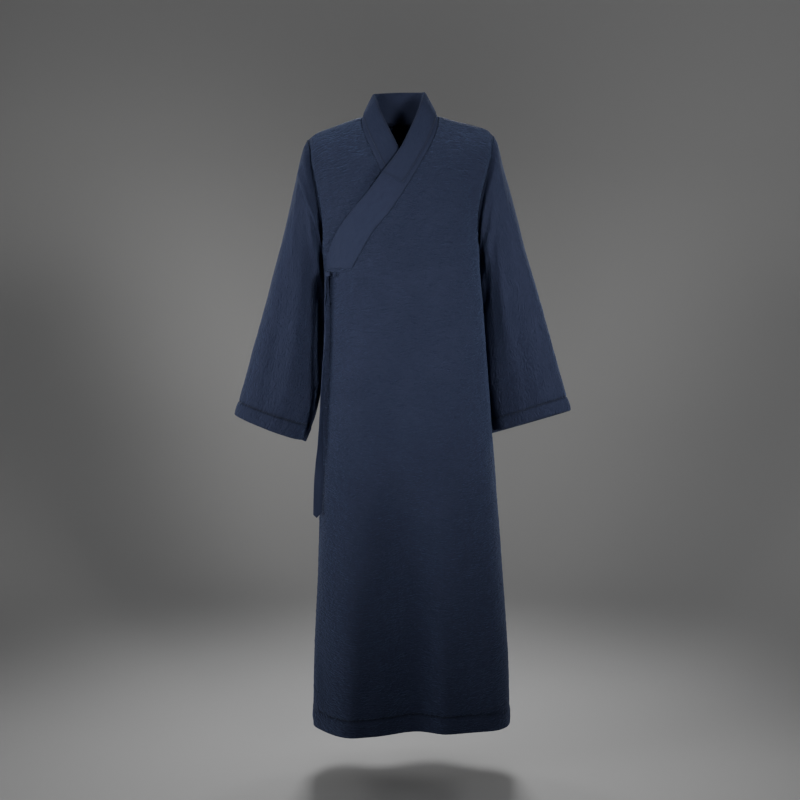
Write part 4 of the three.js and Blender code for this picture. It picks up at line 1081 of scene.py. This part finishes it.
def clothMaterial(name, settings):
    made = bpy.data.materials.new(name)
    made.use_nodes = True
    tree = made.node_tree
    tree.nodes.clear()
    shader = node(tree, "ShaderNodeBsdfPrincipled", {
        "Sheen Weight": finish["sheen"], "Sheen Roughness": finish["sheenRoughness"],
        "Sheen Tint": finish["sheenTint"], "Specular IOR Level": finish["gloss"]})
    node(tree, "ShaderNodeOutputMaterial", None, {"Surface": shader.outputs[0]})
    place = node(tree, "ShaderNodeUVMap", uv_map="cut").outputs[0]
    edge, seam, crinkled = (node(tree, "ShaderNodeAttribute", attribute_name=title).outputs["Fac"]
                            for title in ("edgeMask", "paintedShadeMask", "crinkleMask"))

    def placed(kind, values, links):
        return node(tree, "ShaderNodeGroup", values, links, node_tree=groups[kind])

    crinkle = placed("crinkle", {"Scale U": settings["scaleU"], "Scale V": settings["scaleV"], "Bend": finish["bend"]},
                     {"Place": place})
    weave = placed("weave", {"Threads": finish["threads"], "Slub": finish["slub"]}, {"Place": place})
    tone = placed("tone", {"Color": finish["color"], "Light": finish["light"], "Patch Scale": finish["patchScale"],
                           "Amount": settings["tone"]}, {"Place": place, "Mask": crinkle.outputs["Mask"]})
    # The wear group also paints shade along stitch grooves and beside seams
    wear = placed("wear", {"Worn": finish["worn"], "Amount": finish["wear"], "Shade": finish["paintedShadeAmount"],
                           "Roughness": finish["roughness"]},
                  {"Color": tone.outputs["Color"], "Edge": edge, "Seam": seam, "Place": place})
    tree.links.new(wear.outputs["Color"], shader.inputs["Base Color"])
    tree.links.new(wear.outputs["Roughness"], shader.inputs["Roughness"])
    strong = maths(tree, "MULTIPLY", crinkled, settings["crinkle"])
    height = maths(tree, "ADD", maths(tree, "MULTIPLY", crinkle.outputs["Height"], strong),
                   maths(tree, "MULTIPLY", weave.outputs["Height"], finish["weaveHeight"]))
    bump = node(tree, "ShaderNodeBump", {"Strength": 1.0, "Distance": finish["bump"]}, {"Height": height})
    tree.links.new(bump.outputs[0], shader.inputs["Normal"])
    return made


materials = {name: clothMaterial(name, settings) for name, settings in materialKinds.items()}


sewing = {
    "dark": (0.011, 0.0145, 0.033, 1),
    "light": (0.024, 0.031, 0.062, 1),
    "sheen": 0.2,
    "gloss": 0.35,
    "twist": 1800,
    "roughness": (0.55, 0.75),
    "bump": 0.0002,
}


def threadMaterial():
    made = bpy.data.materials.new("sewingThread")
    made.use_nodes = True
    tree = made.node_tree
    shader = tree.nodes["Principled BSDF"]
    shader.inputs["Sheen Weight"].default_value = sewing["sheen"]
    shader.inputs["Specular IOR Level"].default_value = sewing["gloss"]
    place = node(tree, "ShaderNodeTexCoord").outputs["Object"]
    twist = node(tree, "ShaderNodeTexNoise", {"Scale": sewing["twist"], "Detail": 1}, {"Vector": place})
    mixed = node(tree, "ShaderNodeMix", {6: sewing["dark"], 7: sewing["light"]},
                 {"Factor": twist.outputs["Fac"]}, data_type="RGBA")
    tree.links.new(mixed.outputs[2], shader.inputs["Base Color"])
    least, most = sewing["roughness"]
    rough = node(tree, "ShaderNodeMapRange", {"To Min": least, "To Max": most}, {"Value": twist.outputs["Fac"]})
    tree.links.new(rough.outputs[0], shader.inputs["Roughness"])
    bump = node(tree, "ShaderNodeBump", {"Distance": sewing["bump"]}, {"Height": twist.outputs["Fac"]})
    tree.links.new(bump.outputs[0], shader.inputs["Normal"])
    return made


materials["thread"] = threadMaterial()
print("materials made")

# The sewn pieces


def finishPiece(thing, material, nodeName=None):
    thing.data.materials.append(materials[material])
    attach(thing, "root")
    if nodeName:
        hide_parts(nodeName)


sewn = {
    "frontOver": ("front_over", "bodyCloth"), "frontUnder": ("front_under", "bodyCloth"),
    "backLeft": ("back_left", "bodyCloth"), "backRight": ("back_right", "bodyCloth"),
    "sleeveLeft": ("sleeve_left", "sleeveCloth"), "sleeveRight": ("sleeve_right", "sleeveCloth"),
    "collarBand": ("collar_band", "collarCloth"),
}
for name, (nodeName, material) in sewn.items():
    grid = relief[name]["grid"]
    finishPiece(buildWall(name, grid, grid["wall"]), material, nodeName)
print("panels, sleeves and collar sewn")


# Neck guard: a strip on the band, from its end on the over side to beneath the crossing
def guardGrid():
    seamZ = collarBand["points"][:, -1, 2]
    count = len(seamZ)
    middle = count // 2
    start = float(np.interp(guard["endZ"], seamZ[:middle], np.arange(middle)))
    end = float(np.interp(-guard["underEndZ"], -seamZ[middle:], np.arange(middle, count)))
    along = start + (end - start) * spaced(guard["length"], guard["rowStep"])
    byShare = np.interp(spaced(guard["width"], guard["columnStep"]), [0, 1], [0, 1 - guard["fromSeam"]])
    places = np.interp(byShare, 1 - bandShares[::-1], np.arange(len(bandShares)))
    j, i = np.meshgrid(along, places, indexing="ij")
    points, ways = onSheet(collarBand, j, i, guard["off"] + guard["wall"])
    grid = makeGrid(points)
    grid["normals"] = ways
    grid["u"], grid["v"] = flatPlace(grid)
    grid["distance"] = edgeDistance(grid)
    grid["edgeMask"] = np.exp(-grid["distance"] / surface["edgeWide"])
    stitch = np.exp(-(((grid["distance"] - guard["stitchIn"]) / 1.3) ** 2))
    # Painted shade along the guard's stitch groove
    grid["paintedShadeMask"], grid["crinkleMask"] = 0.6 * stitch, 0.3 + 0 * stitch
    uneven = 0.25 * cellNoise(grid["u"] / 9, grid["v"] / 14, 5)
    grid["proud"] = 0.5 * smooth(grid["distance"] / 8) - 0.4 * stitch + uneven
    grid["proud"] *= smooth(grid["distance"] / 2)
    return grid


neckGuard = guardGrid()
strip = buildWall("neckGuard", neckGuard, guard["wall"] + 0 * neckGuard["u"], guard["wall"] / 2)
finishPiece(strip, "collarCloth", "collar_guard")
print("neck guard sewn on")

# The side tie: a folded strap in a slip knot, with its loop and two ends

# Each end of the strap: height below the origin, its middle's x and y, and its turn in degrees
tieTail = table(
    "key x y turn",
    (362, -163, -71, 78),
    (378, -166.6, -69, 92),
    (420, -167.2, -67, 93),
    (483, -168.2, -66, 93),
    (540, -171, -66, 88),
    (600, -174, -65, 80),
    (700, -179, -63, 64),
    (770, -182.5, -62, 45),
    (830, -187, -62, 18),
    (905, -189.5, -63, 4),
)
shortTail = table(
    "key x y turn",
    (361.9, -161, -66, 86),
    (378, -163.6, -57, 93),
    (406, -163.4, -58, 88),
    (424, -161.4, -77, 50),
)
tie = {"wall": 2.6, "width": 20, "point": 20, "shortWidth": 11, "step": 5, "across": 12, "wave": 1.1, "stitchIn": 2.2}
knot = {"x": -156.8, "z": -356.5, "off": 6.8, "wide": 11.5, "deep": 5.4, "high": 4.6, "strap": 8.4, "thick": 2.3}
bow = {"x": -143.4, "z": -357, "off": 6.2, "radius": 4.4, "high": 4.8, "strap": 8.0, "thick": 1.6, "turn": -28}


def offPanel(x, z, distance):
    across, up = frontPlace(np.array([float(x)]), np.array([float(z)]))
    place = clothPoint(-1, across, up, creases=True)[0]
    way = torsoNormal(-1, across, up)[0]
    return place + way * distance, way


def strapGrid(form, width, point, seed):
    # A flat strap: its rows run down a table of places, its columns across the width
    at = curves(form, "key", "x y turn")
    first, last = form["key"][0], form["key"][-1]
    key = last + (first - last) * spaced(last - first, tie["step"])[:, None]
    share = spaced(width, width / tie["across"])[None, :] - 0.5
    turn = np.radians(at["turn"](key)) + 0.09 * np.sin((key - first) / 31 + seed)
    x = at["x"](key) + np.cos(turn) * share * width
    y = at["y"](key) + np.sin(turn) * share * width
    taper = np.exp(-(last - key) / 12)
    z = -key - point * (0.5 - np.abs(share + 0.1)) * taper
    swell = tie["wave"] * cellNoise((key - first) / 34, share * 1.5 + seed, seed) * smooth((key - first) / 30)
    x, y = x - np.sin(turn) * swell, y + np.cos(turn) * swell
    grid = makeGrid(np.stack([x, y, z + 0 * x], -1))
    grid["normals"] = gridNormals(grid)
    grid["u"], grid["v"] = flatPlace(grid)
    grid["distance"] = edgeDistance(grid)
    stitch = np.exp(-(((grid["distance"] - tie["stitchIn"]) / 0.8) ** 2))
    # Painted shade along the strap's stitch groove
    grid["edgeMask"], grid["paintedShadeMask"] = np.exp(-grid["distance"] / 1.8), 0.6 * stitch
    grid["crinkleMask"] = 0.4 + 0 * stitch
    grid["proud"] = 0.35 * cellNoise(grid["u"] / 4, grid["v"] / 16, seed + 2) - 0.35 * stitch
    return grid


def wrapMesh(name, path, widths, thick, flatWays):
    # A flattened strap swept along a path, closed at its ends
    path, flatWays = np.asarray(path), unit(np.asarray(flatWays))
    along = unit(np.gradient(path, axis=0))
    wide = unit(np.cross(along, flatWays))
    out = np.cross(wide, along)
    turns = np.linspace(0, 2 * math.pi, 17)[:-1]
    crossWide = signedPower(np.cos(turns), 0.75)[None, :, None] * np.asarray(widths)[:, None, None] / 2
    crossOut = signedPower(np.sin(turns), 0.9)[None, :, None] * thick / 2
    ring = path[:, None] + wide[:, None] * crossWide + out[:, None] * crossOut
    high, count = ring.shape[:2]
    j, i = np.meshgrid(np.arange(high - 1), np.arange(count), indexing="ij")
    a, b = (j * count + i).ravel(), (j * count + (i + 1) % count).ravel()
    faces = np.stack([a, a + count, b + count, b], 1).tolist()
    points = np.concatenate([ring.reshape(-1, 3), path[:1], path[-1:]])
    ends, last = len(points) - 2, (high - 1) * count
    faces += [(ends, i, (i + 1) % count) for i in range(count)]
    faces += [(ends + 1, last + (i + 1) % count, last + i) for i in range(count)]
    length = np.concatenate([[0], np.cumsum(np.linalg.norm(np.diff(path, axis=0), axis=1))])
    acrossUv, alongUv = np.broadcast_arrays(turns[None, :] * 3, length[:, None])
    uv = np.stack([acrossUv.ravel(), alongUv.ravel()], 1)
    uv = np.concatenate([uv, [[0, 0], [0, length[-1]]]])
    edge = np.concatenate([np.tile(np.abs(np.cos(turns)) ** 12, high), [0, 0]])
    return addMesh(name, points, faces, uv, {"edgeMask": edge, "paintedShadeMask": 0 * edge, "crinkleMask": 0.4 + 0 * edge})


def knotPieces():
    middle, way = offPanel(knot["x"], knot["z"], knot["off"])
    side = unit(np.cross([0, 0, 1.0], way))
    high = np.cross(way, side)
    turn = np.linspace(-0.6 * math.pi, 2.1 * math.pi, 60)
    shift = np.linspace(-1, 1, len(turn))
    ring = (side * (np.sin(turn) * knot["wide"] * 0.62)[:, None] + way * (np.cos(turn) * knot["deep"] * 0.72)[:, None]
            + high * (shift * knot["high"] * 0.3 + 0.7 * np.sin(turn * 0.5))[:, None])
    flat = side * np.sin(turn)[:, None] + way * np.cos(turn)[:, None]
    widths = knot["strap"] * (0.86 + 0.16 * np.sin(turn * 1.4)) * (0.75 + 0.25 * np.sin(math.pi * (shift + 1) / 2))
    wrap = wrapMesh("tieWrap", middle + ring, widths, knot["thick"], flat)
    share = np.linspace(-1, 1, 24)
    core = middle + high * (share * knot["high"] * 1.05)[:, None] + side * (1.1 * share ** 2)[:, None]
    coreWidths = 2 * knot["wide"] * 0.55 * (0.7 + 0.3 * share ** 2)
    heart = wrapMesh("tieHeart", core, coreWidths, knot["deep"] * 0.9, way + 0 * core)
    place, way = offPanel(bow["x"], bow["z"], bow["off"])
    side = unit(np.cross([0, 0, 1.0], way))
    tilt = math.radians(bow["turn"])
    turn = np.linspace(0, 2 * math.pi, 49)
    outward = np.stack([np.cos(turn), np.sin(turn)], 1)
    face = side * math.cos(tilt) - way * math.sin(tilt)
    loop = place + face * (outward[:, :1] * bow["radius"]) + np.array([0, 0, 1.0]) * (outward[:, 1:] * bow["high"])
    flat = face * outward[:, :1] + np.array([0, 0, 1.0]) * outward[:, 1:]
    bowLoop = wrapMesh("tieBow", loop, bow["strap"] * (0.8 + 0.2 * np.cos(turn - 0.4)) * 0.6, bow["thick"], flat)
    return wrap, heart, bowLoop


tieGrids = {
    "tieLong": (strapGrid(tieTail, tie["width"], tie["point"], 3), "tie_long"),
    "tieShort": (strapGrid(shortTail, tie["shortWidth"], 0, 9), "tie_short"),
}
for name, (grid, nodeName) in tieGrids.items():
    finishPiece(buildWall(name, grid, tie["wall"] + 0 * grid["u"], tie["wall"] / 2), "tieCloth", nodeName)
tieWrap, tieHeart, tieBow = knotPieces()
finishPiece(tieWrap, "tieCloth", "tie_knot")
finishPiece(tieHeart, "tieCloth")
finishPiece(tieBow, "tieCloth", "tie_loop")
print("side tie knotted")

# Stitching, as separate short threads lying in the cloth

thread = {"step": 3.3, "long": 2.3, "wide": 0.34, "high": 0.24, "lift": 0.05, "fine": 6}


def stitchMesh(name, lines):
    # Every stitch is a small bar of three four-cornered rings, thickest in its middle
    points, faces, offset = [], [], 0
    for grid, rows, columns in lines:
        fine = np.arange((len(rows) - 1) * thread["fine"] + 1) / thread["fine"]
        j = np.interp(fine, np.arange(len(rows)), rows)
        i = np.interp(fine, np.arange(len(rows)), columns)
        place, way = onSheet(grid, j, i, thread["lift"])
        length = np.concatenate([[0], np.cumsum(np.linalg.norm(np.diff(place, axis=0), axis=1))])
        starts = np.arange(thread["step"] / 2, length[-1] - thread["long"], thread["step"])
        marks = starts[:, None] + np.array([0, 0.5, 1]) * thread["long"]
        spots = np.stack([np.interp(marks, length, place[:, k]) for k in range(3)], -1)
        ways = unit(np.stack([np.interp(marks, length, way[:, k]) for k in range(3)], -1))
        run = unit(spots[:, 2:] - spots[:, :1])
        side = np.cross(run, ways)
        corners = []
        for at, size in [(0, 0.55), (1, 1.0), (2, 0.55)]:
            for a, b in [(-1, 0), (0, 1), (1, 0), (0, -1)]:
                corners.append(spots[:, at] + side[:, at] * (a * thread["wide"] * size)
                               + ways[:, at] * (b * thread["high"] * size))
        points.append(np.stack(corners, 1).reshape(-1, 3))
        start = offset + len(corners) * np.arange(len(starts))[:, None]
        for ringStart in (0, 4):
            for k in range(4):
                after = (k + 1) % 4
                quad = np.array([ringStart + k, ringStart + after, ringStart + 4 + after, ringStart + 4 + k])
                faces.append(start + quad)
        faces.append(start + np.array([3, 2, 1, 0]))
        faces.append(start + np.array([8, 9, 10, 11]))
        offset += len(corners) * len(starts)
    return addMesh(name, np.concatenate(points), np.concatenate(faces))


def rowOf(grid, row):
    columns = np.nonzero(grid["used"][row])[0].astype(float)
    if grid["closed"]:
        columns = np.append(columns, columns[-1] + 1)
    return grid, np.full(len(columns), float(row)), columns


def columnOf(grid, column, low, high):
    rows = np.arange(low, high + 1, dtype=float)
    return grid, rows, np.full(len(rows), float(column))


cuffRow = int(np.argmin(abs(sleeveRows()[0] - sleeveRows()[1])))
guardPlaces = neckGuard["u"][0] - neckGuard["u"][0, 0]
guardIn = float(np.interp(guard["stitchIn"], guardPlaces, np.arange(len(guardPlaces))))
guardLast = neckGuard["points"].shape[0] - 1
stitching = {
    "stitchFrontOver": [rowOf(frontOver, stitchRow)],
    "stitchFrontUnder": [rowOf(frontUnder, stitchRow)],
    "stitchBackLeft": [rowOf(backLeft, stitchRow)],
    "stitchBackRight": [rowOf(backRight, stitchRow)],
    "stitchCuffLeft": [rowOf(armLeft, cuffRow)],
    "stitchCuffRight": [rowOf(armRight, cuffRow)],
    "stitchGuard": [columnOf(neckGuard, guardIn, 1, guardLast - 1),
                    columnOf(neckGuard, len(guardPlaces) - 1 - guardIn, 1, guardLast - 1)],
}
for name, lines in stitching.items():
    finishPiece(stitchMesh(name, lines), "thread")
print("hem, cuffs and guard stitched")

# Light and floor

# Places and sizes in metres, powers in watts, spreads in degrees
light = {
    "keyLeft": dict(place=(-1.9, -2.9, 0.1), aim=(-0.26, 0, -0.36), size=0.9, power=1.95, spread=30),
    "keyRight": dict(place=(1.8, -3.0, 0.1), aim=(0.28, 0, -0.4), size=0.9, power=3.6, spread=30),
    "lowRight": dict(place=(2.5, -1.5, -0.7), aim=(0.2, 0, -0.85), size=0.9, power=0.7, spread=44),
    "sideLeft": dict(place=(-2.7, -0.85, -0.3), aim=(-0.2, 0, -0.55), size=1.9, power=8.2, spread=60),
    "rearLeft": dict(place=(-2.3, 2.9, 0.4), aim=(0, 0.1, -0.65), size=0.8, power=2, spread=44),
    "rearRight": dict(place=(2.3, 2.9, 0.4), aim=(0, 0.1, -0.65), size=0.8, power=2.2, spread=44),
    "rearTop": dict(place=(0, 2.7, 1.2), aim=(0, 0.1, -0.75), size=1.0, power=8, spread=50),
    "backLeft": dict(place=(-2.6, 0.9, 1.8), aim=(-0.6, 3.2, -0.6), size=1.8, power=6.4, spread=140),
    "backRight": dict(place=(2.6, 0.9, 1.8), aim=(0.6, 3.2, -0.6), size=1.8, power=9, spread=140),
    "overFloor": dict(place=(0, 1.9, 2.6), aim=(0, 2.1, -1.5), size=3.0, power=12.5, spread=160),
}
warmLights = {"names": ("keyLeft", "keyRight"), "color": (1, 0.99, 0.97)}
stage = {"floor": -1525, "near": -3600, "bendStart": 1500, "bend": 1700, "high": 4200, "half": 5200,
         "tone": (0.46, 0.46, 0.46, 1), "roughness": 0.85, "sky": (0.31, 0.32, 0.33, 1), "skyPower": 0.06}


def makeStage():
    scene = bpy.context.scene
    for name, settings in light.items():
        data = bpy.data.lights.new(name, "AREA")
        data.size, data.energy, data.spread = settings["size"], settings["power"], math.radians(settings["spread"])
        data.color = warmLights["color"] if name in warmLights["names"] else (1, 1, 1)
        thing = bpy.data.objects.new(name, data)
        thing.location = settings["place"]
        toAim = Vector(settings["aim"]) - Vector(settings["place"])
        thing.rotation_euler = toAim.to_track_quat("-Z", "Y").to_euler()
        scene.collection.objects.link(thing)
    world = bpy.data.worlds.new("studio")
    world.use_nodes = True
    sky = world.node_tree.nodes["Background"]
    sky.inputs[0].default_value, sky.inputs[1].default_value = stage["sky"], stage["skyPower"]
    scene.world = world
    # One sheet of pale paper: a floor that bends up into the wall behind
    turns = np.linspace(0, math.pi / 2, 25)
    wallY = stage["bendStart"] + stage["bend"]
    y = np.concatenate([[stage["near"]], stage["bendStart"] + stage["bend"] * np.sin(turns), [wallY]])
    z = np.concatenate([[0], stage["bend"] * (1 - np.cos(turns)), [stage["high"]]]) + stage["floor"]
    points = [(x, y[k], z[k]) for k in range(len(y)) for x in (-stage["half"], stage["half"])]
    faces = [(2 * k, 2 * k + 1, 2 * k + 3, 2 * k + 2) for k in range(len(y) - 1)]
    floor = addMesh("floor", points, faces)
    made = bpy.data.materials.new("paleFloor")
    made.use_nodes = True
    shader = made.node_tree.nodes["Principled BSDF"]
    shader.inputs["Base Color"].default_value = stage["tone"]
    shader.inputs["Roughness"].default_value = stage["roughness"]
    floor.data.materials.append(made)


makeStage()
print("stage lit")
